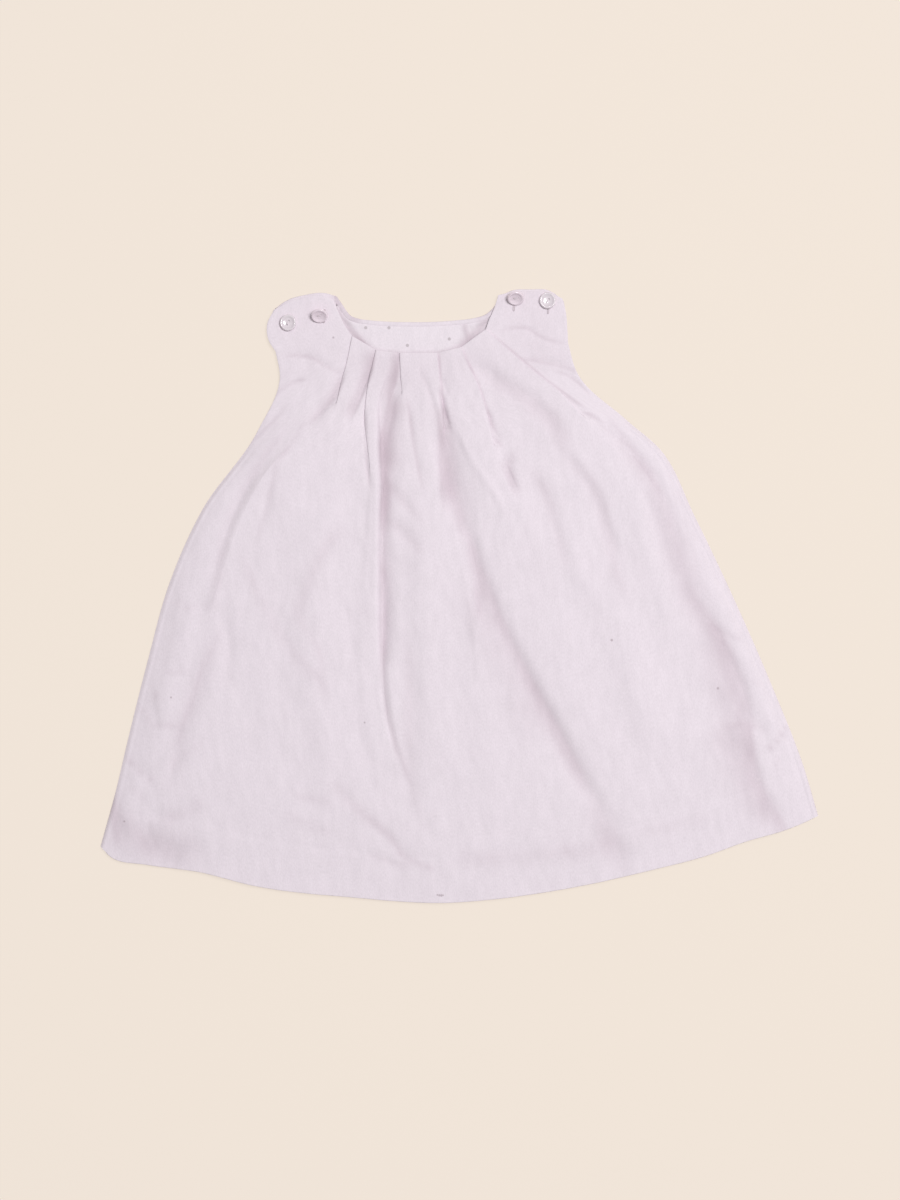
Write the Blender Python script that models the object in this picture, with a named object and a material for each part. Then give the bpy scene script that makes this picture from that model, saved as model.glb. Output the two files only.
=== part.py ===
"""A sleeveless toddler dress laid flat, face up: pleated front, back with folded-over straps,
neck facing and four buttons.

The front and its two straps are one cut of cloth, and so are the back and its two straps. Each
strap is a solid of its own here, so that the space between the straps stays open.

Lengths are in millimetres until sheet() writes them as metres. +X is the dress's width, +Y runs
from the hem to the neck and +Z is up, away from the surface that the dress lies on. The origin
is the middle of the dress's outline, on that surface.
"""

import math

import bmesh
import bpy
import numpy as np
from mathutils import Matrix, Vector

MM = 0.001
WELD = 0.02

# Cloth and how the layers lie on each other
WALL = 1.2
FACING_WALL = 1.0
SEAM_GAP = 0.3
BACK_LEVEL = WALL / 2
TURNED_LEVEL = BACK_LEVEL + WALL + SEAM_GAP
FACING_LEVEL = WALL + SEAM_GAP + FACING_WALL / 2
EDGE_LEVEL = WALL + SEAM_GAP + WALL / 2
FRONT_LEVEL = TURNED_LEVEL + WALL + SEAM_GAP

# A pleat has three layers, two fold radii apart. The cloth beside it stays at its level for
# PLEAT_HOLD, and for no more than HOLD_SHARE of the way to the next pleat.
TURN_RADIUS = 0.8
PLEAT_HOLD = 9.0
HOLD_SHARE = 0.6
PLEAT_SPREAD = 1.6

# The front settles from the strap and neck level to the level of the side seams
EDGE_ROLL = 12.0
ARMHOLE_DROP = 70.0
NECK_REST = (34.0, 62.0)
FOLD_START = 60.0

# The sides run from the base of a strap, round the armhole and down to the hem
LEFT_EDGE = [(-131, 176), (-128, 159), (-144, 119), (-184, 62), (-208, 8), (-223, -46),
             (-238, -106), (-246, -140), (-257, -180)]
RIGHT_EDGE = [(79, 182), (85, 162), (121, 127), (146, 105), (170, 58), (199, -3), (226, -65),
              (248, -121), (259, -158)]
HEM = [(-257, -180), (-250, -187), (-222, -193), (-186, -198), (-146, -208), (-78, -216),
       (-6, -220), (30, -217), (88, -208), (137, -197), (176, -187), (207, -176), (238, -167),
       (259, -158)]

# name, side its edge faces, under-fold depth, where it stops being pressed and where it is
# open, its height and width there, and its height at the hem; then the line of its edge
PLEATS = [
    ("first", -1, 8.0, 34, 70, 2.4, 14, 0.6,
     [(-76, 187), (-81, 164), (-88, 144), (-141, 84), (-173, 4), (-188, -55), (-222, -193)]),
    ("second", -1, 8.0, 42, 96, 2.8, 9, 0.3,
     [(-59, 177), (-65, 150), (-67, 130), (-64, 82), (-68, 20), (-78, -72), (-106, -213)]),
    ("third", -1, 8.0, 32, 60, 1.6, 10, 0.6,
     [(-42, 175), (-41, 155), (-42, 141), (-52, 112), (-53, 20), (-52, -75), (-24, -219)]),
    ("fourth", 1, 8.0, 34, 84, 3.4, 16, 0.8,
     [(-15, 175), (-13, 154), (-11, 139), (-2, 84), (8, 30), (24, -60), (50, -214)]),
    ("fifth", 1, 8.0, 50, 92, 2.4, 16, 0.6,
     [(2, 179), (13, 155), (25, 120), (43, 77), (72, 14), (106, -75), (152, -193)]),
    ("sixth", 1, 7.0, 60, 120, 2.2, 16, 0.8,
     [(20, 192), (46, 169), (83, 139), (133, 91), (166, 12), (199, -54), (232, -169)]),
]

# How finely the cloth is divided: columns of each stretch between pleats, rows of the pressed
# part and of the skirt, and rows and columns of the plainer pieces
PANEL_COLUMNS = (7, 4, 3, 4, 4, 5, 6)
PLEAT_COLUMNS = 7
PRESSED_SHARE = 0.2
PRESSED_ROWS = 11
SKIRT_ROWS = 25
FRONT_STRAP_ROWS = 7
BACK_STRAP_ROWS = 5
TURNED_ROWS = 5
BACK_STRAP_COLUMNS = 6
BACK_NECK_COLUMNS = 11
BACK_ROWS = 15
FACING_COLUMNS = 22
FACING_ROWS = 5
HEM_STEPS = 200

# Large folds below the pleats: name, height (a trough is negative), half-width to its left and
# to its right, and its course
FOLDS = [
    ("valley beside the centre panel", -2.4, 3.0, 9.0,
     [(-52, 135), (-54, 115), (-53, 60), (-53, -20), (-52, -75)]),
    ("wide valley right of centre", -2.2, 9.0, 14.0,
     [(-9, 120), (-3, 70), (4, 30), (18, 10), (50, -55), (83, -120), (112, -180)]),
    ("right side valley", -2.2, 10.0, 14.0,
     [(112, 122), (143, 77), (155, 40), (175, -8), (198, -46), (212, -90), (222, -130)]),
    ("valley between the last pleats", -1.8, 9.0, 10.0,
     [(15, 170), (45, 146), (62, 133), (76, 103), (98, 65), (110, 38)]),
    ("left side valley", -2.0, 12.0, 8.0,
     [(-110, 122), (-140, 96), (-162, 55), (-170, 20), (-174, -10)]),
    ("left lower valley", -1.8, 10.0, 12.0,
     [(-155, 40), (-138, 12), (-123, -31), (-114, -62)]),
    ("long left ridge", 2.0, 12.0, 14.0,
     [(-95, 95), (-100, 30), (-104, -20), (-98, -90), (-88, -150)]),
    ("left edge ridge", 1.8, 12.0, 12.0,
     [(-190, 30), (-200, -30), (-212, -85), (-218, -140)]),
    ("centre ridge", 1.8, 12.0, 12.0,
     [(-26, 90), (-24, 20), (-20, -60), (-14, -150)]),
    ("right ridge", 2.2, 14.0, 16.0,
     [(60, 60), (95, 10), (128, -60), (152, -130)]),
    ("low diagonal", -1.6, 8.0, 9.0,
     [(-83, -137), (-66, -156), (-49, -170), (-18, -197)]),
]
FOLD_STEPS = 60
FOLD_FADE_STEPS = 12

# Straps, each from the armhole side to the neck side: front end, back fold, and the two sides
# of each from the base up; then the middle of the back strap's base
STRAPS = {
    "left": {
        "front_end": [(-132, 206), (-121, 212), (-110, 215), (-99, 216.5), (-90, 213.5)],
        "back_fold": [(-133, 208), (-121, 214.2), (-110, 217), (-99, 218.6), (-87, 217)],
        "front_armhole": [(-131, 176), (-136, 184), (-137, 196), (-132, 206)],
        "front_neck": [(-76, 187), (-81, 194), (-85, 202), (-90, 213.5)],
        "back_armhole": [(-130, 178), (-135.5, 187), (-136.5, 197), (-133, 208)],
        "back_neck": [(-77.5, 201.5), (-80.5, 206), (-83.5, 211), (-87, 217)],
        "turned_end": [(-130, 184), (-120, 185), (-108, 187), (-97, 190), (-90, 193)],
        "back_base": (-104, 190),
    },
    "right": {
        "front_end": [(29, 216.5), (40, 219), (52, 219.2), (64, 219.2), (75, 214)],
        "back_fold": [(30, 216.6), (40, 220.6), (52, 221), (64, 221), (77, 213.5)],
        "front_armhole": [(79, 182), (78.5, 192), (77.5, 204), (75, 214)],
        "front_neck": [(20, 192), (22, 198), (26, 207), (29, 216.5)],
        "back_armhole": [(78, 183), (78.5, 193), (78.3, 204), (77, 213.5)],
        "back_neck": [(19, 201.6), (25, 206), (28.5, 212), (30, 216.6)],
        "turned_end": [(29, 196), (40, 195), (52, 194), (63, 193), (74, 192)],
        "back_base": (50, 192),
    },
}
TURNED_INSET = 3.4

BACK_NECK = [(-77.5, 201.5), (-72, 199), (-65, 197.5), (-49, 195), (-37, 194.7), (-15, 195),
             (-1, 196.5), (11, 198.7), (19, 201.6)]
FACING_TOP = [(-84.5, 209.5), (-78, 200.5), (-72, 196.3), (-65, 195), (-49, 192.8),
              (-37, 192.5), (-15, 192.8), (-1, 194), (11, 196.3), (19, 199.2), (25.3, 204)]
FACING_FOOT = [(-86, 207.5), (-84, 196), (-79, 184), (-66, 168), (-49, 158), (-26, 154),
               (-4, 157), (9, 168), (18, 188), (21.5, 195), (25, 202.5)]
BACK_INSET = 0.8

# Buttons: a dished disc with a rounded rim and two thread holes
BUTTON_RADIUS = 6.0
BUTTON_THICK = 2.4
BUTTON_DISH = 0.9
BUTTON_RIM = 1.5
BUTTON_ROUND = 0.7
BUTTON_BASE_CUT = 2.2
BUTTON_SIDES = 24
HOLE_RADIUS = 0.75
HOLE_OFFSET = 1.3
HOLE_SIDES = 8
TILT_RELIEF = 1.0

# name, place, tilt about the width axis in degrees, and turn of the two holes
BUTTONS = [
    ("button_left_outer", (-122.1, 196.6), 0, 65),
    ("button_left_inner", (-99.4, 202.2), 34, 20),
    ("button_right_inner", (41.3, 214.9), 38, 15),
    ("button_right_outer", (64.3, 212.5), 0, 50),
]

CLOTH_LOOK = ((0.77, 0.69, 0.74, 1), 0.9)
FACING_LOOK = ((0.84, 0.76, 0.81, 1), 0.85)
BUTTON_LOOK = ((0.82, 0.74, 0.76, 1), 0.25)


def ease(value):
    """0 below 0, 1 above 1 and a smooth step between."""
    value = np.clip(value, 0, 1)
    return value * value * (3 - 2 * value)


def line_through(points, fractions):
    """Places along a smooth curve through the points, at these fractions of its length."""
    points = np.array(points, float)
    chord = np.concatenate([[0], np.cumsum(np.linalg.norm(np.diff(points, axis=0), axis=1))])
    slope = np.gradient(points, chord, axis=0)
    at = np.linspace(0, chord[-1], 40 * len(points))
    k = np.clip(np.searchsorted(chord, at, side="right") - 1, 0, len(chord) - 2)
    span = (chord[k + 1] - chord[k])[:, None]
    s = (at - chord[k])[:, None] / span
    dense = (
        (2 * s**3 - 3 * s**2 + 1) * points[k]
        + (s**3 - 2 * s**2 + s) * span * slope[k]
        + (3 * s**2 - 2 * s**3) * points[k + 1]
        + (s**3 - s**2) * span * slope[k + 1]
    )
    run = np.concatenate([[0], np.cumsum(np.linalg.norm(np.diff(dense, axis=0), axis=1))])
    wanted = np.asarray(fractions) * run[-1]
    return np.column_stack([np.interp(wanted, run, dense[:, axis]) for axis in (0, 1)])


def even(count):
    """Fractions from 0 to 1, evenly spaced."""
    return np.linspace(0, 1, count)


def length_of(points):
    return np.linalg.norm(np.diff(np.array(points, float), axis=0), axis=1).sum()


def patch(top, foot, left, right):
    """A flat four-sided patch, row by row from the top, from its four edges."""
    u = even(len(top))[None, :, None]
    v = even(len(left))[:, None, None]
    ruled = (1 - v) * top[None] + v * foot[None] + (1 - u) * left[:, None] + u * right[:, None]
    corners = (
        (1 - v) * ((1 - u) * top[0] + u * top[-1]) + v * ((1 - u) * foot[0] + u * foot[-1])
    )
    return ruled - corners


def fold_height(place):
    """Height that the large folds add at each place."""
    height = np.zeros(place.shape[:-1])
    for _, rise, left, right, course in FOLDS:
        line = line_through(course, even(FOLD_STEPS))
        away = place[..., None, :] - line
        nearest = np.argmin((away**2).sum(-1), axis=-1)
        offset = np.take_along_axis(away, nearest[..., None, None], axis=-2)[..., 0, :]
        along = np.gradient(line, axis=0)[nearest]
        side = along[..., 0] * offset[..., 1] - along[..., 1] * offset[..., 0]
        width = np.where(side > 0, right, left)
        from_end = np.minimum(nearest, FOLD_STEPS - 1 - nearest)
        fade = ease(from_end / FOLD_FADE_STEPS)
        height += rise * fade * np.exp(-(offset**2).sum(-1) / width**2)
    return height


def pleat_bundle(pleat, run):
    """Offsets across the pleat's edge, and heights, of its columns at each row."""
    _, faces, depth, pressed, opened, soft_rise, soft_width, hem_rise, _ = pleat
    r = TURN_RADIUS
    across = np.array([0, depth - r, depth, depth - r, r, 0, r])
    height = np.array([0, 0, r, 2 * r, 2 * r, 3 * r, 4 * r])
    flat = even(PLEAT_COLUMNS) - 0.5
    fold = 1 - ease((run - pressed) / (opened - pressed))[:, None]
    beyond = np.clip((run - opened) / (run[-1] - opened), 0, 1)[:, None]
    width = soft_width * (1 + PLEAT_SPREAD * beyond)
    rise = soft_rise + (hem_rise - soft_rise) * beyond
    offset = fold * across + (1 - fold) * width * flat
    level = fold * height + (1 - fold) * rise * ease(flat + 0.5)
    if faces > 0:
        return -offset[:, ::-1], level[:, ::-1]
    return offset, level


def front_sheet():
    """Rows of (x, y, z) for the front below its straps, with its pleats folded in."""
    pressed = np.linspace(0, PRESSED_SHARE, PRESSED_ROWS)
    rows = np.concatenate([pressed, np.linspace(PRESSED_SHARE, 1, SKIRT_ROWS)[1:]])
    lines = [LEFT_EDGE] + [pleat[-1] for pleat in PLEATS] + [RIGHT_EDGE]
    edges = [line_through(line, rows) for line in lines]
    columns, levels = [edges[0]], [np.zeros(len(rows))]
    for number, count in enumerate(PANEL_COLUMNS):
        start, start_level = columns[-1], levels[-1]
        if number == len(PLEATS):
            bundle, heights = edges[-1][:, None], np.zeros((len(rows), 1))
        else:
            pleat, edge = PLEATS[number], edges[number + 1]
            across = edge - edges[number] if pleat[1] > 0 else edges[number + 2] - edge
            across /= np.linalg.norm(across, axis=1)[:, None]
            offset, heights = pleat_bundle(pleat, rows * length_of(lines[number + 1]))
            bundle = edge[:, None] + offset[..., None] * across[:, None]
        stretch = np.linalg.norm(bundle[:, 0] - start, axis=1)
        hold = np.minimum(PLEAT_HOLD / np.maximum(stretch, 1), HOLD_SHARE)
        for step in range(1, count):
            t = step / count
            columns.append(start + t * (bundle[:, 0] - start))
            down = start_level * (1 - ease((t - hold) / (1 - hold)))
            up = heights[:, 0] * ease(t / (1 - hold))
            levels.append(np.maximum(down, up))
        columns.extend(bundle.transpose(1, 0, 2))
        levels.extend(heights.T)
    place, level = np.stack(columns, 1), np.stack(levels, 1)

    hem = line_through(HEM, even(HEM_STEPS))
    miss = np.interp(place[-1, :, 0], hem[:, 0], hem[:, 1]) - place[-1, :, 1]
    place[..., 1] += miss[None] * rows[:, None] ** 3

    from_side = np.minimum(
        np.linalg.norm(place - edges[0][:, None], axis=-1),
        np.linalg.norm(place - edges[-1][:, None], axis=-1),
    )
    run = rows * length_of(lines[3])
    edge_level = FRONT_LEVEL - (FRONT_LEVEL - EDGE_LEVEL) * ease(run / ARMHOLE_DROP)
    roll = np.exp(-from_side / EDGE_ROLL)
    base = FRONT_LEVEL + (edge_level[:, None] - FRONT_LEVEL) * roll
    lowest = edge_level[:, None] * np.ones_like(base)
    near_neck = 1 - ease((run - NECK_REST[0]) / (NECK_REST[1] - NECK_REST[0]))
    lowest = np.maximum(lowest, EDGE_LEVEL + (FRONT_LEVEL - EDGE_LEVEL) * near_neck[:, None])
    relief = fold_height(place) * (1 - roll) * ease((run / FOLD_START)[:, None])
    surface = np.maximum(base + relief, lowest)
    return np.dstack([place, surface + level])


def sides_of(side, layer):
    """The left and the right edge of a strap, each from its base up."""
    strap = STRAPS[side]
    armhole, neck = strap[f"{layer}_armhole"], strap[f"{layer}_neck"]
    return (armhole, neck) if side == "left" else (neck, armhole)


def front_strap(side, base):
    """Rows of a front strap, from its rounded end down to one seam gap above the front."""
    u, v = even(len(base)), even(FRONT_STRAP_ROWS)
    left, right = (line_through(edge, 1 - v) for edge in sides_of(side, "front"))
    top = line_through(STRAPS[side]["front_end"], u)
    foot = base[:, :2] + [0, SEAM_GAP]
    left[-1], right[-1] = foot[0], foot[-1]
    place = patch(top, foot, left, right)
    level = FRONT_LEVEL + (base[:, 2] - FRONT_LEVEL) * ease(v)[:, None]
    return np.dstack([place, level])


def back_strap(side, base):
    """Rows of a back strap, from its turned end up and round the shoulder fold to its base."""
    strap = STRAPS[side]
    u, v = even(len(base)), even(BACK_STRAP_ROWS)
    fold = line_through(strap["back_fold"], u)
    radius = (TURNED_LEVEL - BACK_LEVEL) / 2
    below_fold = fold - [0, radius]
    left, right = (line_through(edge, 1 - v) for edge in sides_of(side, "back"))
    foot = base + [0, SEAM_GAP]
    left[0], right[0] = below_fold[0], below_fold[-1]
    left[-1], right[-1] = foot[0], foot[-1]
    flat = patch(below_fold, foot, left, right)[::-1]
    end = line_through(strap["turned_end"], u)
    inward = TURNED_INSET * (1 - 2 * u)
    turned_top = below_fold + np.column_stack([inward, np.zeros(len(u))])
    rows = [np.column_stack([row, np.full(len(u), BACK_LEVEL)]) for row in flat]
    rows.append(np.column_stack([fold, np.full(len(u), BACK_LEVEL + radius)]))
    for step in even(TURNED_ROWS):
        at = turned_top + step * (end - turned_top)
        rows.append(np.column_stack([at, np.full(len(u), TURNED_LEVEL)]))
    return np.array(rows[::-1])


def back_strap_base(side):
    """Places along the line where a back strap meets the back, from left to right."""
    strap = STRAPS[side]
    line = [strap["back_armhole"][0], strap["back_base"], strap["back_neck"][0]]
    if side == "right":
        line = line[::-1]
    return line_through(line, even(BACK_STRAP_COLUMNS))


def back_sheet():
    """Rows of (x, y, z) for the flat back below its straps."""
    neck = line_through(BACK_NECK, even(BACK_NECK_COLUMNS))
    top = np.concatenate([back_strap_base("left"), neck[1:-1], back_strap_base("right")])
    v = even(BACK_ROWS)
    left = line_through(LEFT_EDGE, v) + [BACK_INSET, 0]
    right = line_through(RIGHT_EDGE, v) - [BACK_INSET, 0]
    foot = line_through(HEM, even(len(top))) + [0, BACK_INSET]
    foot[0], foot[-1] = left[-1], right[-1]
    left[0], right[0] = top[0], top[-1]
    flat = patch(top, foot, left, right)
    return np.dstack([flat, np.full(flat.shape[:2], BACK_LEVEL)])


def material(name, look):
    colour, roughness = look
    made = bpy.data.materials.new(name)
    made.use_nodes = True
    shader = made.node_tree.nodes["Principled BSDF"]
    shader.inputs["Base Color"].default_value = colour
    shader.inputs["Roughness"].default_value = roughness
    shader.inputs["Metallic"].default_value = 0.0
    return made


def place_mesh(name, mesh, look):
    data = bpy.data.meshes.new(name)
    mesh.to_mesh(data)
    mesh.free()
    made = bpy.data.objects.new(name, data)
    bpy.context.scene.collection.objects.link(made)
    data.materials.append(look)
    data.shade_smooth()
    return made


def sheet(name, rows, wall, look):
    """A cloth piece: a grid through these rows of points, given a wall about its middle."""
    mesh = bmesh.new()
    down, across = rows.shape[:2]
    made = bmesh.ops.create_grid(mesh, x_segments=across - 1, y_segments=down - 1, size=0.5)
    for vertex, point in zip(made["verts"], rows.reshape(-1, 3)):
        vertex.co = Vector(point) * MM
    bmesh.ops.remove_doubles(mesh, verts=mesh.verts, dist=WELD * MM)
    bmesh.ops.reverse_faces(mesh, faces=mesh.faces)
    piece = place_mesh(name, mesh, look)
    thick = piece.modifiers.new("wall", "SOLIDIFY")
    thick.thickness = wall * MM
    thick.offset = 0
    return piece


def front(look):
    """The front and its two straps."""
    rows = front_sheet()
    left_base = rows[0, : PANEL_COLUMNS[0] + 1]
    right_base = rows[0, -PANEL_COLUMNS[-1] - 1 :]
    sheet("front_panel", rows, WALL, look)
    sheet("front_strap_left", front_strap("left", left_base), WALL, look)
    sheet("front_strap_right", front_strap("right", right_base), WALL, look)


def back(look):
    """The back and its two straps."""
    sheet("back_panel", back_sheet(), WALL, look)
    for side in STRAPS:
        rows = back_strap(side, back_strap_base(side))
        sheet(f"back_strap_{side}", rows, WALL, look)


def back_neck_facing(look):
    u, v = even(FACING_COLUMNS), even(FACING_ROWS)
    top, foot = line_through(FACING_TOP, u), line_through(FACING_FOOT, u)
    left = top[0] + v[:, None] * (foot[0] - top[0])
    right = top[-1] + v[:, None] * (foot[-1] - top[-1])
    flat = patch(top, foot, left, right)
    rows = np.dstack([flat, np.full(flat.shape[:2], FACING_LEVEL)])
    sheet("back_neck_facing", rows, FACING_WALL, look)


def button(name, centre, tilt, turn, look):
    """A round dished button with two holes, its lowest edge one gap above the strap."""
    outer, rim = BUTTON_RADIUS, BUTTON_RADIUS - BUTTON_RIM
    top, dish = BUTTON_THICK, BUTTON_THICK - BUTTON_DISH
    soft = BUTTON_ROUND
    profile = [(0, dish), (rim - soft, dish), (rim, top - soft / 4), (outer - soft, top),
               (outer, top - soft), (outer - soft / 2, soft), (outer - BUTTON_BASE_CUT, 0),
               (0, 0)]
    mesh = bmesh.new()
    points = [mesh.verts.new(Vector((x, 0, z)) * MM) for x, z in profile]
    edges = [mesh.edges.new(pair) for pair in zip(points, points[1:])]
    bmesh.ops.spin(mesh, geom=points + edges, cent=(0, 0, 0), axis=(0, 0, 1),
                   angle=2 * math.pi, steps=BUTTON_SIDES, use_merge=True)
    bmesh.ops.remove_doubles(mesh, verts=mesh.verts, dist=WELD * MM)
    bmesh.ops.recalc_face_normals(mesh, faces=mesh.faces)
    made = place_mesh(name, mesh, look)
    for side in (-1, 1):
        drill = bmesh.new()
        bmesh.ops.create_cone(drill, cap_ends=True, segments=HOLE_SIDES,
                              radius1=HOLE_RADIUS * MM, radius2=HOLE_RADIUS * MM,
                              depth=4 * BUTTON_THICK * MM)
        angle = math.radians(turn)
        shift = Vector((math.cos(angle), math.sin(angle), 0)) * side * HOLE_OFFSET * MM
        bmesh.ops.translate(drill, verts=drill.verts, vec=shift)
        cutter = place_mesh(f"{name}_drill_{side}", drill, look)
        cutter.hide_render = True
        cutter.display_type = "WIRE"
        cutter.parent = made
        cut = made.modifiers.new("thread hole", "BOOLEAN")
        cut.operation = "DIFFERENCE"
        cut.object = cutter
    lean = math.radians(tilt)
    lift = (BUTTON_RADIUS - TILT_RELIEF) * abs(math.sin(lean))
    rise = FRONT_LEVEL + WALL / 2 + SEAM_GAP + lift
    made.matrix_world = (
        Matrix.Translation(Vector((*centre, rise)) * MM) @ Matrix.Rotation(lean, 4, "X")
    )


def main():
    for old in list(bpy.data.objects):
        bpy.data.objects.remove(old, do_unlink=True)
    cloth = material("pale cotton", CLOTH_LOOK)
    front(cloth)
    back(cloth)
    back_neck_facing(material("dotted facing cotton", FACING_LOOK))
    pearl = material("pearly button", BUTTON_LOOK)
    for name, centre, tilt, turn in BUTTONS:
        button(name, centre, tilt, turn, pearl)


main()
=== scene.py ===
"""A sleeveless toddler dress laid flat, face up: its cloth, creases, stitching, buttons and light.

Lengths are in millimetres until a mesh is written, which is in metres. +X is the dress's width,
+Y runs from the hem to the neck and +Z is up. Left and right are as seen from above.
"""

import math

import bmesh
import bpy
import numpy as np
from mathutils import Matrix, Vector, kdtree, noise


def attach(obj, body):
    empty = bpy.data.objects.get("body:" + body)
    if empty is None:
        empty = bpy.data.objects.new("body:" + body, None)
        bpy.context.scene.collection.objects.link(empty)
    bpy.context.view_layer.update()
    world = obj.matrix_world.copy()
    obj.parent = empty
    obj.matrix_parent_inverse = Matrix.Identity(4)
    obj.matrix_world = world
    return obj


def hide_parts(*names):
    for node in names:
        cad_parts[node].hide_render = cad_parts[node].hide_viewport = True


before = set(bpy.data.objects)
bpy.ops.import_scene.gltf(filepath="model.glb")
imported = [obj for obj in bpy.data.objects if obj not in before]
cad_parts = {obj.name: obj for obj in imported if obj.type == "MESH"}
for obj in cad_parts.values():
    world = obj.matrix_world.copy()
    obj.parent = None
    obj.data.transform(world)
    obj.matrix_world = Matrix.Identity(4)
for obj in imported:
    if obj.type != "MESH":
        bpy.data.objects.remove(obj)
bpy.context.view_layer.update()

MM = 0.001
WELD = 0.02

# How the layers lie on each other in the solids
WALL = 1.2
SEAM_GAP = 0.3
TURNED_LEVEL = WALL / 2 + WALL + SEAM_GAP
FRONT_LEVEL = TURNED_LEVEL + WALL + SEAM_GAP

# The thinner cloth that is shown, which stands proud of the solids' middle, and the lower level
# that the front is pressed to along its side seams
CLOTH = 0.45
PROUD = (WALL - CLOTH) / 2
BACK_MIDDLE = CLOTH / 2
TURNED_MIDDLE = TURNED_LEVEL + PROUD
EDGE_LEVEL = WALL + SEAM_GAP

# How finely a smooth curve is followed for each point that it goes through
CURVE_STEPS = 40

# A pleat has three layers, two fold radii apart. The cloth beside it stays at its level for
# PLEAT_HOLD, and for no more than HOLD_SHARE of the way to the next pleat. An opened pleat is
# PLEAT_SPREAD wider still at the hem, and takes PLEAT_SHARE of the room beside it at most.
FOLD_RADIUS = 0.25
BEND_STEPS = 3
FLAT_STEPS = 2
PLEAT_HOLD = 9.0
HOLD_SHARE = 0.6
PLEAT_SPREAD = 1.6
PLEAT_SHARE = 0.36

# The front settles from the strap and neck level to the level of the side seams, and between
# them its fullness lifts it off the back. A trough goes no lower than the valley floor, which it
# nears softly.
EDGE_ROLL = 12.0
ARMHOLE_DROP = 70.0
FULLNESS = 3.6
FULL_EDGE = 30.0
FULL_START = (22.0, 100.0)
FULL_HEM = (70.0, 0.35)
NECK_REST = (34.0, 62.0)
VALLEY_FLOOR = 1.2
SOFT_FLOOR = 0.6
TROUGH_DEPTH = 1.3
CREST_HEIGHT = 0.9
CREASE_CALM = 0.7

# What handling leaves between the creases: its height, where it starts below the neck, how much
# calmer it is at the sides, and its layers, each with its share, its size across and down the
# dress, and a shift of its pattern
UNEVEN = 1.7
UNEVEN_START = 40.0
UNEVEN_CALM = 0.6
UNEVEN_LAYERS = [(0.50, 34, 70, 3.1), (0.36, 12, 28, 7.7), (0.14, 5, 12, 1.3)]

# Edges are turned and pressed at the neck, straps and armholes, and seamed to the back below.
# Inside a seam the allowance puffs the cloth up, and a ditch ends it, deeper on the right side.
TURNED_ROUND = 1.1
TURNED_FALL = 0.25
SEAM_ROUND = 2.6
SEAM_LEVEL = 1.3
SEAM_START = (62.0, 84.0)
ALLOWANCE = 4.4
DITCH_DEPTH = (0.12, 0.38)
DITCH_WIDTH = 0.9
ALLOWANCE_PUFF = 0.25
ALLOWANCE_PUFF_WIDTH = 1.4
TURNED_STEPS = (0.12, 0.5, 1.4)
SIDE_STEPS = (0.12, 0.6, 1.4, 2.4, 3.5, 4.4, 5.3, 6.6)
EDGE_SPACING = 0.04

# The hem is turned up inside round a bend, at these angles, and the weave runs on round it by this
# pace and length. A line of stitches pulls the cloth in where the hem ends.
HEM_DEPTH = 33.0
HEM_FLOOR = 2.3
HEM_FADE = HEM_DEPTH / 2
HEM_SPACE = 0.55
HEM_BEND = (40, 80, 120, 160)
HEM_BEND_PACE = 0.5
HEM_BEND_LENGTH = 1.5
HEM_LINE_DIP = 0.3
HEM_LINE_WIDTH = 2.4
HEM_LINE_STEPS = (-4.0, -2.0, 0.0, 2.0, 4.0)
HEM_LINE_PULL = 0.35
HEM_LINE_PATTERN = (22, 60, 9.1)
HEM_PUFF = 0.15
HEM_PUFF_FADE = (4, 7)
HEM_SIDE_COLUMNS = {"front": 6, "back": 1}
HEM_CURVE_STEPS = 200
HEM_CURVE_POWER = 3

# The sides run from the base of a strap, round the armhole and down to the hem
LEFT_EDGE = [(-131, 176), (-128, 159), (-144, 119), (-184, 62), (-208, 8), (-223, -46),
             (-238, -106), (-246, -140), (-257, -180)]
RIGHT_EDGE = [(79, 182), (85, 162), (121, 127), (146, 105), (170, 58), (199, -3), (226, -65),
              (248, -121), (259, -158)]
HEM = [(-257, -180), (-250, -187), (-222, -193), (-186, -198), (-146, -208), (-78, -216),
       (-6, -220), (30, -217), (88, -208), (137, -197), (176, -187), (207, -176), (238, -167),
       (259, -158)]

# name, side its edge faces, under-fold depth, where it stops being pressed and where it is
# open, its height and width there, and its height at the hem; then the line of its edge
PLEATS = [
    ("first", -1, 8.0, 28, 60, 1.4, 12, 0.4,
     [(-76, 187), (-81, 164), (-88, 144), (-141, 84), (-173, 4), (-188, -55), (-222, -193)]),
    ("second", -1, 8.0, 42, 96, 0.5, 6, 0.1,
     [(-59, 177), (-65, 150), (-67, 130), (-64, 82), (-68, 20), (-78, -72), (-106, -213)]),
    ("third", -1, 8.0, 14, 36, 0.35, 8, 0.3,
     [(-42, 175), (-41.5, 155), (-44, 141), (-52, 112), (-53, 20), (-52, -75), (-24, -219)]),
    ("fourth", 1, 8.0, 34, 76, 1.6, 10, 0.5,
     [(-15, 175), (-13, 154), (-11, 139), (-2, 84), (8, 30), (24, -60), (50, -214)]),
    ("fifth", 1, 8.0, 50, 92, 1.5, 12, 0.4,
     [(2, 179), (13, 155), (25, 120), (43, 77), (72, 14), (106, -75), (152, -193)]),
    ("sixth", 1, 7.0, 60, 120, 1.5, 12, 0.6,
     [(20, 192), (46, 169), (83, 139), (133, 91), (166, 12), (199, -54), (232, -169)]),
]

# Columns of each stretch between pleats, and rows of the pressed share of the length and of the
# skirt below it
PANEL_COLUMNS = (24, 42, 26, 30, 36, 38, 24)
PRESSED_SHARE = 0.2
PRESSED_ROWS = 38
SKIRT_ROWS = 76

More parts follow.
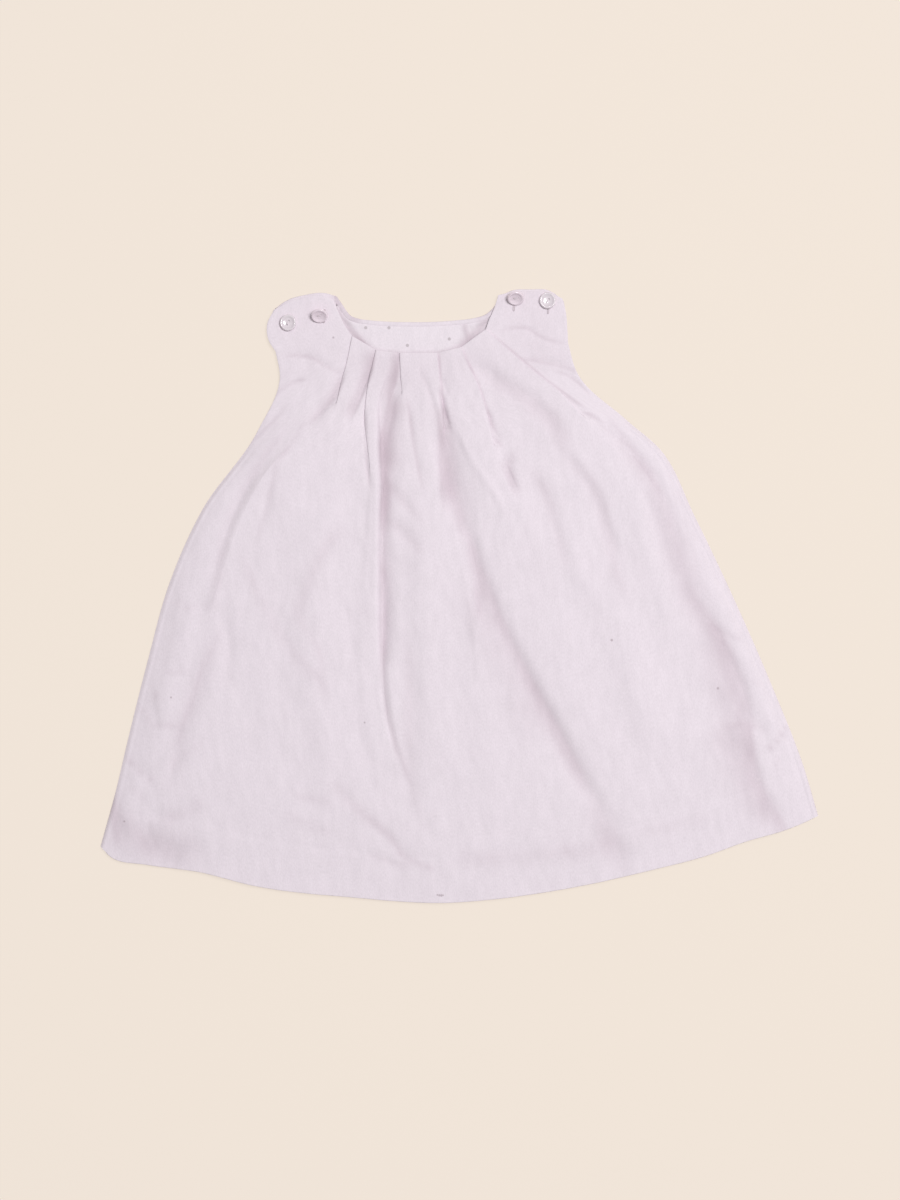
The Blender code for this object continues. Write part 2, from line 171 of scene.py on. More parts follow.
# Straps, each from the armhole side to the neck side: front end, back fold, the sides of each
# from the base up, the end of the part that is folded over, and the middle of the back's base
STRAPS = {
    "left": {
        "front_end": [(-132, 206), (-121, 212), (-110, 215), (-99, 216.5), (-90, 213.5)],
        "back_fold": [(-132, 208), (-121, 214.2), (-110, 217), (-99, 218.6), (-87.5, 217)],
        "front_armhole": [(-131, 176), (-136, 184), (-137, 196), (-132, 206)],
        "front_neck": [(-76, 187), (-81, 194), (-85, 202), (-90, 213.5)],
        "back_armhole": [(-130, 178), (-135, 187), (-136, 197), (-132, 208)],
        "turned_end": [(-132, 184), (-120, 185), (-108, 187), (-97, 190), (-84.5, 195)],
        "back_base": (-104, 190),
    },
    "right": {
        "front_end": [(29, 216.5), (40, 219), (52, 219.2), (64, 219.2), (75, 214)],
        "back_fold": [(30, 216.6), (40, 220.6), (52, 221), (64, 220.8), (75.8, 214.2)],
        "front_armhole": [(79, 182), (78.5, 192), (77.5, 204), (75, 214)],
        "front_neck": [(20, 192), (22, 198), (26, 207), (29, 216.5)],
        "back_armhole": [(78, 183), (78.3, 193), (77.6, 204), (75.8, 214.2)],
        "turned_end": [(29, 196), (40, 195), (52, 194), (63, 193), (74, 192)],
        "back_base": (50, 192),
    },
}

# Their rows, how far the folded-over part is set in, and how flat its fold is pinched at each side
STRAP_LENGTH = 30
STRAP_ROWS = 26
BACK_STRAP_ROWS = 18
TURNED_ROWS = 12
TURNED_INSET = 1.2
STRAP_PINCH = 0.55
STRAP_PINCH_SHARE = 0.14
SHOULDER_BEND_STEPS = 8

# The back's neck edge, down the left strap, along the neck and up the right strap; the places
# on it where the straps begin; and the outer cloth that is rolled over it to the facing's seam
BACK_NECK = [(-87, 217), (-83.5, 211), (-80.5, 206), (-77, 202), (-71.5, 200), (-65, 199),
             (-49, 197.8), (-37, 197.5), (-15, 197.8), (-1, 198.8), (11, 200.3), (19, 202.6),
             (24.6, 207), (28, 212), (30, 216.6)]
BACK_NECK_STRAPS = (0.136, 0.864)
NECK_ROLL_RADIUS = 0.9
NECK_ROLL_STEPS = 6
NECK_ROLL_STRIP = (0.5, 1.0, 1.5, 1.9, 2.3, 2.8)
NECK_ROLL_SINK = (0.0, 0.0, 0.03, 0.12, 0.45, 1.0)
NECK_ROLL_END = 0.35
NECK_ROLL_FLAT = 0.08
BACK_STRAP_COLUMNS = 28
BACK_NECK_COLUMNS = 56
BACK_ROWS = 90
BACK_INSET = 0.7
BACK_CURL = 0.3
BACK_CURL_WIDTH = 2.3

# The facing: the stretch of the neck edge that it follows, how far inside it starts, its foot,
# and how its upper edge sinks into the seam
FACING_SPAN = (0.052, 0.905)
FACING_INSET = 3.1
FACING_FOOT = [(-89, 208.5), (-85.5, 196), (-79, 184), (-66, 168), (-49, 158), (-26, 154),
               (-4, 157), (9, 168), (18, 188), (21.5, 195), (25.5, 202)]
FACING_LEVEL = 2.0
FACING_CLOTH = 0.5
FACING_SINK = 0.45
FACING_SINK_WIDTH = 0.7
FACING_FLAT = 4
FACING_UNEVEN = 0.12
FACING_PATTERN = (9, 14, 5.5)
FACING_COLUMNS = 110
FACING_TOP_ROWS = (0, 0.012, 0.03)
FACING_FIRST_ROW = 0.055
FACING_ROWS = 44
FACING_CREASES = [
    ("left upright", 0.35, 1.0, 1.3, [(-61, 196), (-62, 188), (-61.5, 178)]),
    ("right upright", 0.5, 1.0, 1.6, [(3, 197), (6.5, 190), (8, 180)]),
    ("right partner", -0.4, 1.2, 1.2, [(7, 198), (9.5, 190), (11, 182)]),
    ("middle upright", 0.2, 1.6, 1.6, [(-33, 195), (-31, 184), (-32, 172)]),
    ("right end hollow", -1.0, 4.5, 3.5, [(2, 178), (8, 184), (14, 191), (20, 200), (24, 206)]),
    ("left end hollow", -0.8, 3.0, 3.5, [(-66, 178), (-73, 185), (-79, 193), (-83, 203)]),
]

# Creases of the front: name, height (a trough is negative), half-width to its left and to its
# right for a course that runs towards the hem, and its course
CREASES = [
    ("shade left of the first pleat", -0.9, 5.0, 1.6,
     [(-80, 166), (-86, 150), (-90, 142), (-97, 133), (-104, 124)]),
    ("first pleat's trough", -1.0, 6.0, 4.0,
     [(-112, 121), (-124, 111), (-141, 92), (-153, 74), (-163, 54), (-170, 26), (-175, -2)]),
    ("first pleat's crest", 1.5, 2.6, 3.2,
     [(-113, 119), (-130, 98), (-145, 79), (-157, 57), (-166, 33), (-173, 5), (-180, -25)]),
    ("armhole crease", -0.9, 5.0, 5.0,
     [(-123, 137), (-137, 122), (-152, 108), (-169, 89)]),
    ("branch of the first trough", -0.6, 4.0, 4.0,
     [(-129, 98), (-134, 85), (-137, 68), (-142, 46)]),
    ("left diagonal", -0.6, 7.0, 6.0,
     [(-158, 42), (-148, 26), (-138, 12), (-130, -12), (-123, -31), (-114, -52)]),
    ("left diagonal's echo", -0.45, 4.0, 5.0,
     [(-118, -12), (-102, -31), (-97, -51), (-99, -67), (-92, -92)]),
    ("slant under the second pleat", -0.6, 8.0, 6.0,
     [(-82, 54), (-96, 34), (-107, 14), (-118, -10)]),
    ("short upright", -0.5, 4.0, 4.0, [(-82, -4), (-78, -26), (-75, -46)]),
    ("upright by the second pleat", -0.6, 5.0, 5.0,
     [(-76, -60), (-71, -95), (-65, -132)]),
    ("left lower trough", -0.8, 4.5, 5.5,
     [(-175, -36), (-181, -52), (-189, -74), (-198, -91), (-202, -118), (-211, -138)]),
    ("left lower branch", -0.6, 3.5, 3.5,
     [(-178, -98), (-192, -109), (-202, -118), (-208, -132)]),
    ("left upright", -1.0, 4.0, 4.5,
     [(-171, 2), (-166, -30), (-165, -52), (-168, -74)]),
    ("left side nick", -0.6, 3.0, 3.0, [(-218, -52), (-204, -53), (-188, -57)]),
    ("left side upper nick", -0.5, 3.0, 3.5, [(-207, -1), (-193, -4), (-179, -9)]),
    ("left side hook", -0.9, 3.0, 3.5, [(-233, -79), (-222, -77), (-217, -86), (-215, -97)]),
    ("left side low nick", -0.8, 3.0, 3.0, [(-238, -115), (-229, -125), (-219, -133)]),
    ("left corner nick", -0.9, 4.0, 4.0, [(-251, -144), (-244, -163), (-237, -178)]),
    ("left corner bend", -0.5, 5.0, 5.0,
     [(-221, -153), (-207, -158), (-196, -156), (-185, -147)]),
    ("left corner hollow", -1.1, 11.0, 11.0, [(-232, -166), (-214, -181), (-196, -192)]),
    ("shade left of the second pleat", -1.2, 6.0, 1.6,
     [(-60, 172), (-64, 160), (-68, 150), (-72, 139), (-80, 124)]),
    ("second pleat's line", -0.7, 1.8, 1.6,
     [(-67, 140), (-67, 125), (-66, 105), (-65, 91), (-61, 73)]),
    ("crest left of the centre panel", 0.9, 6.0, 3.0,
     [(-61, 146), (-60.5, 112), (-60, 74), (-59.5, 20), (-59.5, -40)]),
    ("trough beside the centre panel", -3.2, 2.2, 9.0,
     [(-45, 168), (-50, 155), (-54, 141), (-54.5, 112), (-53.5, 85), (-53.5, 56)]),
    ("long trough of the centre panel", -2.6, 2.4, 5.5,
     [(-53.5, 84), (-54, 40), (-54, 8), (-54, -24), (-54, -58)]),
    ("its thin end", -1.2, 1.6, 2.8,
     [(-54, -26), (-54, -58), (-52, -82), (-46, -108), (-40, -128)]),
    ("trough's soft end", -0.55, 5.0, 7.0,
     [(-40, -20), (-37, -53), (-32, -78), (-34, -103), (-36, -146), (-25, -168)]),
    ("upper slant on the centre panel", -0.8, 3.0, 4.0, [(-50, 80), (-40, 68), (-29, 57)]),
    ("lower slant on the centre panel", -1.0, 4.0, 6.0, [(-50, 54), (-39, 44), (-27, 33)]),
    ("centre crease", -0.5, 2.4, 2.8, [(-36, 140), (-33, 118), (-30, 100), (-26, 80)]),
    ("centre crease's partner", -0.7, 2.6, 2.8, [(-27, 164), (-22, 150), (-18, 138), (-15, 120)]),
    ("dent on the centre panel", -0.7, 2.4, 2.4, [(-12, 158), (-9.5, 150), (-8, 143)]),
    ("fourth pleat's gap", -2.4, 1.6, 2.2, [(-13, 148), (-11, 138), (-9, 128), (-7.5, 115)]),
    ("wide trough right of centre", -3.4, 6.0, 9.0,
     [(-13, 127), (-11, 106), (-6, 84), (0, 60), (5, 38)]),
    ("its left fork", -1.6, 2.2, 4.5, [(5, 54), (11, 30), (13.5, 6), (13.5, -18)]),
    ("its long diagonal", -2.0, 9.0, 5.4,
     [(2, 56), (10, 36), (19, 12), (27, -9), (38, -33), (50, -57), (62, -79), (75, -103),
      (88, -128), (104, -156), (114, -176)]),
    ("crest left of the diagonal", 1.0, 3.0, 3.5, [(10, 6), (13, -26), (14, -64)]),
    ("light fold off the fourth pleat", 0.7, 2.6, 2.6, [(-4, 128), (10, 98), (23, 79), (36, 59)]),
    ("hook", -1.7, 3.0, 3.0, [(41, 103), (35, 94), (38, 84), (43, 72)]),
    ("fifth pleat's gap", -1.2, 1.6, 2.4, [(20, 136), (24, 122), (29, 108)]),
    ("upright by the hook", -1.0, 3.6, 4.6, [(56, 87), (64, 70), (70, 48), (76, 22)]),
    ("its soft partner", -0.6, 4.5, 4.5, [(48, 97), (56, 74), (60, 40)]),
    ("trough before the sixth pleat", -1.5, 5.5, 6.5,
     [(5, 172), (23, 158), (39, 149), (50, 143), (60, 134), (68, 124), (73, 110)]),
    ("its lower run", -1.1, 5.5, 4.4,
     [(68, 109), (82, 96), (93, 80), (100, 68), (106, 50), (113, 34), (124, 17)]),
    ("right side trough", -1.1, 5.5, 4.6,
     [(107, 128), (117, 112), (129, 98), (140, 87), (148, 72), (154, 50), (159, 26), (166, 6)]),
    ("right side trough below", -1.5, 10.0, 5.0,
     [(158, 22), (167, 0), (182, -22), (194, -44), (203, -66), (208, -90), (209, -112)]),
    ("right side trough's echo", -1.0, 5.0, 5.0, [(133, 88), (140, 62), (149, 34), (158, 10)]),
    ("right hollow", -1.0, 7.0, 6.0, [(185, -62), (189, -92), (193, -120)]),
    ("right side crosswise fold", -0.4, 3.0, 3.5, [(186, -93), (205, -92), (225, -93)]),
    ("right foot trough", -1.5, 9.0, 4.6,
     [(209, -98), (213, -124), (219, -140), (228, -155), (236, -168)]),
    ("right side nick", -0.7, 2.8, 2.8, [(240, -94), (233, -104), (226, -114)]),
    ("right side upper nick", -0.6, 3.0, 3.0, [(184, -22), (192, -27), (202, -33)]),
    ("facing edge in the right strap", -0.5, 2.2, 2.2,
     [(29, 190), (40, 192.5), (52, 192), (58, 186), (66, 183), (77, 182.5)]),
    ("crease below the right strap", -0.6, 2.5, 2.5, [(46, 171), (60, 169), (72, 167), (87, 162)]),
    ("second crease below it", -0.6, 2.5, 2.8, [(70, 161), (80, 158), (87, 153), (94, 145)]),
    ("facing edge in the left strap", -0.6, 2.2, 2.2,
     [(-129, 172), (-116, 173.5), (-105, 172.5), (-95, 166), (-83, 161.5)]),
    ("armhole pull on the left", -0.7, 2.6, 3.0, [(-131, 145), (-121, 151), (-109, 157)]),
    ("soft upright on the left", -0.6, 4.5, 3.0, [(-106, 174), (-107, 166), (-109, 156)]),
    ("low diagonal", -0.6, 4.5, 5.0,
     [(-92, -130), (-78, -146), (-64, -160), (-50, -172), (-38, -185), (-17, -196)]),
    ("low nick", -0.45, 4.0, 4.0, [(-116, -145), (-104, -149), (-91, -153)]),
    ("second low nick", -0.4, 4.0, 4.0, [(-124, -160), (-110, -167), (-96, -174)]),
    ("nick on the hem", -0.6, 4.0, 4.0, [(-66, -185), (-52, -190), (-38, -195)]),
    ("hem hollow on the right", -0.9, 8.0, 8.0, [(100, -165), (112, -178), (124, -192)]),
    ("long left crest", 2.2, 12.0, 14.0,
     [(-95, 95), (-100, 30), (-104, -20), (-98, -90), (-88, -150)]),
    ("left edge crest", 1.8, 10.0, 10.0, [(-190, 30), (-200, -30), (-213, -85), (-222, -140)]),
    ("centre crest", 1.8, 11.0, 12.0, [(-26, 90), (-24, 20), (-20, -60), (-14, -150)]),
    ("right crest", 2.3, 14.0, 16.0, [(60, 60), (95, 10), (128, -60), (152, -130)]),
    ("crest between the last troughs", 1.4, 9.0, 10.0,
     [(98, 122), (125, 70), (140, 20), (165, -50)]),
    ("right edge crest", 1.6, 6.0, 7.0, [(172, 30), (196, -20), (218, -70), (236, -120)]),
]

# Painted shade where the folds of the front are deep and where the cloth lies doubled: its colour
# is darkened and made pinker there. Name, strength, half-width to its left and to its right, and
# course
FOLD_SHADES = [
    ("wide shade of the centre trough", 0.7, 2.2, 9.5,
     [(-45, 150), (-50, 136), (-53, 118), (-53.5, 100), (-52, 84)]),
    ("core of the centre trough", 1.05, 2.0, 4.4,
     [(-53.5, 126), (-55, 110), (-54.5, 95), (-53.5, 77), (-54.5, 55), (-53, 38)]),
    ("long shade of the centre trough", 0.42, 2.0, 4.5,
     [(-54.5, 56), (-54.5, 20), (-54, -2.5), (-54, -30), (-54, -62)]),
    ("its thin end", 0.36, 1.3, 2.4,
     [(-54, -18), (-54, -46), (-52.5, -72), (-48, -96), (-41, -118), (-32, -140)]),
    ("under the third pleat", 0.8, 5.0, 1.3,
     [(-42, 180), (-43, 170), (-44.5, 158), (-48, 146), (-51, 137)]),
    ("under the second pleat", 0.6, 5.5, 1.3,
     [(-59, 182), (-61, 168), (-65, 154), (-71, 140), (-79, 124)]),
    ("second pleat's line", 0.25, 1.3, 1.1,
     [(-66.2, 138), (-66.2, 120), (-65.5, 98), (-63.4, 80), (-61.2, 71)]),
    ("under the first pleat", 0.5, 4.0, 1.6,
     [(-82, 164), (-85, 150), (-90, 141.5), (-98, 133), (-109, 120)]),
    ("left side of the wide trough", 0.5, 1.6, 8.0,
     [(-14.4, 142), (-13, 118), (-12.5, 96), (-12, 78), (-10, 56)]),
    ("core of the wide trough", 0.38, 4.0, 5.0,
     [(-11.5, 127), (-8.6, 105.5), (-4.3, 80), (1.4, 55), (6.5, 36)]),
    ("its left fork", 0.25, 2.0, 3.0, [(5, 54), (9, 36), (12.6, 20), (14.4, -2), (14.4, -22)]),
    ("long diagonal", 0.5, 6.0, 3.2,
     [(2, 56), (10, 36), (19, 12), (27, -9), (38, -33), (50, -57), (62, -79), (75, -103),
      (88, -128), (104, -156)]),
    ("foot of the diagonal", 0.22, 10.0, 9.0,
     [(92, -142), (103, -162), (112, -178), (124, -204)]),
    ("hollow left of the diagonal", 0.2, 14.0, 8.0,
     [(8, 20), (18, -12), (32, -48), (52, -85), (66, -108)]),
    ("fourth pleat's gap", 0.5, 1.4, 1.4, [(-14, 153), (-12, 142), (-10, 132), (-7.5, 117)]),
    ("fourth pleat's edge", 0.55, 0.9, 1.1,
     [(-14.4, 180), (-13.4, 168), (-12.3, 156), (-10.5, 142)]),
    ("fifth pleat's edge", 0.46, 0.9, 1.2,
     [(1, 184), (6.8, 168.5), (13.8, 155), (19.6, 138), (25.8, 120), (34, 98)]),
    ("hook", 0.42, 3.0, 3.0, [(41, 105), (37, 98), (36, 91), (39, 82), (44, 70)]),
    ("upright by the hook", 0.18, 3.6, 3.6, [(50, 97), (60, 80), (67, 62), (72, 42), (80, 16)]),
    ("hollow before the sixth pleat", 0.26, 7.0, 6.0,
     [(18, 164), (36, 149), (54, 137), (68, 125), (75, 110), (72, 95)]),
    ("trough below it", 0.22, 6.0, 3.4,
     [(70, 106), (86, 94), (98, 79), (105, 61), (109, 42), (114, 18), (126, -10)]),
    ("right side trough", 0.27, 8.0, 3.6,
     [(104, 128), (119, 112), (134, 93), (145, 72), (152, 50), (160, 22), (168, 0), (184, -22),
      (197, -46), (206, -72)]),
    ("its thin start", 0.26, 1.6, 1.3, [(104, 134), (113, 123), (126, 103), (138, 86), (150, 66)]),
    ("hollow beside it", 0.18, 12.0, 9.0,
     [(146, 84), (158, 42), (173, -5), (187, -46), (201, -95)]),
    ("end of the side trough", 0.24, 7.0, 2.6,
     [(178, -12), (190, -32), (200, -52), (206, -72), (210, -92), (210, -112)]),
    ("right hollow", 0.22, 15.0, 8.0,
     [(180, -18), (193, -50), (201, -82), (204, -106), (207, -134)]),
    ("right foot trough", 0.42, 8.0, 3.0,
     [(207, -84), (210, -106), (213, -124), (220, -143), (232, -163), (244, -182)]),
    ("hollow beside the foot", 0.26, 14.0, 7.0,
     [(188, -84), (200, -118), (212, -140), (232, -170)]),
    ("crosswise fold", 0.2, 2.0, 2.6, [(188, -97), (202, -93), (212, -93), (226, -97)]),
    ("right side nick", 0.3, 1.6, 1.6, [(238, -92), (233, -98), (227, -106), (220, -113)]),
    ("right side short nick", 0.16, 1.4, 1.6, [(232, -112), (229, -119), (226, -128)]),
    ("right side upper nick", 0.2, 1.6, 1.6, [(178, -17), (186, -24), (196, -27), (206, -31)]),
    ("second upper nick", 0.16, 1.4, 1.6, [(180, -26), (188, -32), (195, -34)]),
    ("right side small nick", 0.12, 1.4, 1.4, [(206, -58), (214, -62), (222, -66)]),
    ("left band", 0.2, 4.5, 2.2,
     [(-113, 130), (-124, 118), (-137, 102), (-149, 82), (-160, 58), (-168, 33), (-173, 5),
      (-177, -24)]),
    ("shade beside its crest", 0.24, 1.2, 1.7, [(-108, 130), (-116, 116), (-126, 101), (-139, 85)]),
    ("left band's branch", 0.17, 1.6, 2.4, [(-129, 100), (-134, 78), (-139, 58), (-147, 32)]),
    ("left diagonal", 0.17, 5.0, 3.0,
     [(-160, 40), (-150, 18), (-140, -3), (-130, -22), (-116, -42), (-99, -60), (-88, -82)]),
    ("its echo", 0.13, 3.0, 2.2, [(-120, -8), (-110, -22), (-100, -38), (-97, -53), (-95, -70)]),
    ("slant", 0.18, 5.0, 4.0, [(-78, 54), (-94, 36), (-105, 14), (-118, -24)]),
    ("left lower trough", 0.22, 2.6, 1.8,
     [(-168, -22), (-176, -38), (-186, -58), (-191, -77), (-198, -94), (-204, -112)]),
    ("band along it", 0.12, 6.0, 7.0,
     [(-166, -10), (-178, -40), (-188, -66), (-196, -90), (-204, -118), (-212, -146)]),
    ("lower trough's branch", 0.12, 1.8, 1.8,
     [(-180, -103), (-190, -110), (-200, -115), (-208, -127)]),
    ("left side upper nick", 0.14, 1.6, 1.8, [(-211, 1), (-200, -6), (-190, -9), (-171, -4)]),
    ("left side nick", 0.13, 1.6, 1.6, [(-214, -53), (-203, -55), (-194, -56), (-182, -60)]),
    ("left side hook", 0.22, 1.6, 2.2,
     [(-235, -76), (-226, -83), (-220, -91), (-206, -94), (-196, -92)]),
    ("left side short nick", 0.15, 1.4, 1.6, [(-222, -66), (-216, -72), (-209, -76)]),
    ("left side low nick", 0.24, 1.6, 2.4,
     [(-241, -114), (-233, -122), (-226, -128), (-216, -134)]),
    ("left side lowest nick", 0.16, 1.5, 1.8, [(-238, -136), (-231, -141), (-222, -144)]),
    ("left corner", 0.4, 2.6, 3.6, [(-252, -134), (-249, -148), (-247, -162), (-243, -184)]),
    ("left corner's soft side", 0.16, 7.0, 8.0,
     [(-254, -138), (-243, -158), (-228, -174), (-204, -190)]),
    ("left hem hollow", 0.26, 13.0, 13.0,
     [(-258, -158), (-238, -171), (-216, -180), (-196, -181), (-176, -174)]),
    ("left corner bend", 0.16, 5.0, 5.0, [(-216, -164), (-204, -158), (-195, -155), (-180, -146)]),
    ("low diagonal", 0.22, 4.5, 3.0, [(-93, -131), (-81, -143), (-69, -155), (-57, -166)]),
    ("its middle", 0.3, 3.0, 3.0, [(-66, -157), (-55, -167), (-46, -176), (-39, -187)]),
    ("its end", 0.28, 2.6, 2.4, [(-46, -181), (-36, -188), (-26, -192.5), (-14, -196)]),
    ("nick on the hem", 0.16, 2.4, 2.4, [(-68, -184), (-54, -189), (-44, -192), (-30, -193)]),
    ("low nick", 0.14, 3.0, 3.0, [(-120, -141), (-106, -145), (-88, -149)]),
    ("second low nick", 0.12, 3.0, 3.0, [(-128, -154), (-110, -162), (-88, -171)]),
    ("soft upright left of centre", 0.15, 4.0, 5.0,
     [(-40, -10), (-35, -60), (-36, -108), (-32, -142), (-22, -172)]),
    ("hem allowance's edge", 0.17, 7.0, 5.0, [(-8, -187), (24, -188), (55, -186), (94, -178)]),
    ("hem allowance by the diagonal", 0.2, 7.0, 6.0, [(72, -185), (95, -181), (118, -172)]),
    ("hem allowance on the right", 0.12, 5.0, 5.0, [(122, -171), (146, -166), (184, -158)]),
    ("soft side of the right strap", 0.12, 22.0, 22.0,
     [(50, 240), (52, 214), (56, 186), (62, 150)]),
    ("soft side of the left strap", 0.05, 20.0, 20.0,
     [(-108, 236), (-108, 206), (-106, 176), (-104, 146)]),
    ("below the neck edge", 0.1, 13.0, 13.0,
     [(-96, 176), (-66, 166), (-30, 162), (4, 168), (34, 184)]),
    ("sixth pleat's edge", 0.5, 0.9, 1.2,
     [(18, 194), (33, 181), (46.6, 169.6), (65, 154.5), (84, 140), (98, 127.5), (115, 112)]),
    ("facing edge in the right strap", 0.26, 1.2, 1.6,
     [(24, 188), (38, 192.5), (50, 192.5), (58, 187.5), (68, 183.5), (82, 182)]),
    ("crease below the right strap", 0.3, 1.1, 1.4, [(42, 171), (56, 169), (70, 166), (92, 160)]),
    ("second crease below it", 0.26, 1.1, 1.4, [(66, 163), (80, 158), (89, 151), (98, 141)]),
    ("facing edge in the left strap", 0.32, 1.3, 1.3,
     [(-130, 172), (-118, 173), (-105.5, 171.6), (-96, 166), (-88, 162), (-78, 162)]),
    ("armhole pull on the left", 0.3, 1.2, 1.4, [(-136, 140), (-124, 151), (-106, 158)]),
    ("armhole crease", 0.24, 1.6, 1.4, [(-119, 141), (-135, 124), (-151, 109), (-173, 84)]),
    ("centre crease", 0.34, 1.3, 1.7, [(-37, 148), (-34, 124), (-31, 104), (-25, 74)]),
    ("centre crease's partner", 0.12, 2.2, 2.2, [(-29, 170), (-23, 152), (-18, 138), (-14, 112)]),
    ("upper slant on the centre panel", 0.14, 2.4, 3.0, [(-52, 84), (-40, 68), (-24, 52)]),
    ("lower slant on the centre panel", 0.15, 3.0, 4.0, [(-52, 58), (-39, 44), (-23, 29)]),
]

# The same painted shade for the facing, under the front's neck edge, and for the back inside its
# straps
FACING_SHADES = [
    ("right end", 0.7, 4.0, 3.0, [(-2, 177), (6, 183.5), (12.5, 189), (19, 198), (25, 208)]),
    ("right triangle", 0.45, 2.4, 2.4, [(10, 176), (8, 184), (5.5, 192), (4, 201)]),
    ("left end", 0.6, 3.0, 4.0, [(-60, 174), (-71, 184), (-78.5, 193.5), (-84, 204), (-88, 214)]),
    ("under the front's neck edge", 0.35, 1.5, 1.5,
     [(-80, 190), (-69, 182.8), (-59, 176.8), (-42, 175.3), (-22, 174.8), (-10.8, 176.3),
      (2, 180), (10, 184), (20, 194)]),
]
BACK_SHADES = [
    ("inside the left strap", 0.5, 4.0, 4.0, [(-90, 222), (-84, 210), (-78.5, 202.5), (-66, 198)]),
    ("inside the right strap", 0.35, 3.0, 3.0, [(10, 199), (20, 203), (26, 209), (31, 220)]),
]

# How much the troughs' own depth adds to this painted shade, how uneven the painted shade is and in
# what pattern, and the colour that the cloth is multiplied by where the painted shade is full
CREASE_SHADE = 0.04
SHADE_UNEVEN = 0.35
SHADE_PATTERN = (6, 12, 4.2)
FOLD_SHADE_TINT = (0.73, 0.67, 0.695)

# Creases of the back, which lies on the surface: each lifts the cloth as far as it has room
BACK_CREASES = [
    ("long left fold", 1.6, 3.0, 7.0, [(-96, 120), (-112, 40), (-120, -40), (-128, -120)]),
    ("left slant", 1.2, 4.0, 3.0, [(-150, 70), (-138, 30), (-142, -20), (-160, -70)]),
    ("left low fold", 1.1, 5.0, 3.0, [(-196, -60), (-190, -110), (-198, -160)]),
    ("fold left of the middle", 1.4, 6.0, 3.0, [(-52, 150), (-58, 80), (-50, 0), (-56, -70)]),
    ("middle fold", 1.2, 3.0, 4.0, [(-20, 130), (-12, 60), (-18, -30), (-6, -110)]),
    ("fold right of the middle", 1.6, 7.0, 3.0, [(22, 140), (38, 60), (52, -20), (80, -110)]),
    ("right slant", 1.2, 3.0, 5.0, [(70, 120), (92, 60), (88, 10), (104, -50)]),
    ("right long fold", 1.6, 3.0, 7.0, [(112, 90), (140, 20), (160, -60), (178, -130)]),
    ("right low fold", 1.1, 4.0, 4.0, [(206, -50), (214, -90), (222, -140)]),
    ("left nick", 0.9, 3.0, 3.0, [(-222, -100), (-205, -108), (-190, -106)]),
    ("right nick", 0.9, 3.0, 3.0, [(150, -150), (170, -142), (188, -146)]),
    ("low slant", 1.1, 4.0, 4.0, [(-60, -130), (-36, -152), (-8, -170)]),
]

# Room that stays free under the front, the part of its grid that is asked, and where the back
# stays flat: along its sides, neck and hem
BACK_ROOM = 1.25
BACK_ROOM_STRIDE = 2
BACK_UNEVEN = 0.35
BACK_FLAT_SIDE = (3, 8)
BACK_FLAT_NECK = 12
BACK_FLAT_HEM = (12, 20)

# Any crease: how finely its course is followed, how many half-widths it reaches, the share of its
# course on which it fades at each end, and how much and how often it swells along it
CREASE_STEPS = 60
CREASE_REACH = 3
CREASE_FADE = 0.22
CREASE_SWELL = 0.22
SWELL_WAVE = 9
SWELL_SHIFT = 2.4

# Buttons: half of their section from the dish round the rim to the base, as distances from the
# middle and heights; then name, place, tilt about the width axis in degrees, and turn of the holes
BUTTON_RADIUS = 5.9
BUTTON_THICK = 2.4
BUTTON_SIDES = 56
BUTTON_PROFILE = [(0.0, 1.25), (1.6, 1.25), (2.9, 1.36), (3.9, 1.75), (4.5, 2.2), (4.95, 2.4),
                  (5.35, 2.33), (5.72, 2.0), (5.9, 1.5), (5.86, 1.1), (5.5, 0.55), (4.6, 0.12),
                  (3.4, 0.0), (0.0, 0.0)]
BUTTON_SHARP = 40
HOLE_RADIUS = 0.62
HOLE_OFFSET = 1.3
HOLE_SIDES = 20
TILT_RELIEF = 1.0
BUTTONS = [
    ("button_left_outer", (-122.1, 196.6), 0, 65),
    ("button_left_inner", (-99.4, 202.2), 42, 20),
    ("button_right_inner", (41.3, 214.7), 42, 15),
    ("button_right_outer", (64.3, 212.5), 0, 50),
]
THREAD_RADIUS = 0.24
THREAD_SIDES = 10
THREAD_STEPS = 12
THREAD_ARCH = 0.4
THREAD_BASE = 1.22
THREAD_SPREAD = (-0.3, 0.0, 0.3)

# Buttonholes: their height, how their upper edge is rounded and their slit sunk, each step by its
# width and rise; then name, the place of their lower end, their length and lean to the right in
# degrees
BUTTONHOLE_HALF_WIDTH = 0.8
BUTTONHOLE_SIDES = 24
BUTTONHOLE_HEIGHT = 0.45
BUTTONHOLE_SINK = 0.3
BUTTONHOLE_ROUND = ((0.22, 0.12), (0.28, 0.04))
SLIT_HALF_WIDTH = 0.25
SLIT_FALL = -0.08
SLIT_WALL = (0.1, -0.4)
BUTTONHOLES = [
    ("buttonhole_left_outer", (-121.8, 191.6), 10.0, 0),
    ("buttonhole_left_inner", (-96.2, 196.3), 10.0, 4),
    ("buttonhole_right_inner", (40.2, 204.9), 12.5, 2),
    ("buttonhole_right_outer", (64.7, 203.0), 12.5, 0),
]

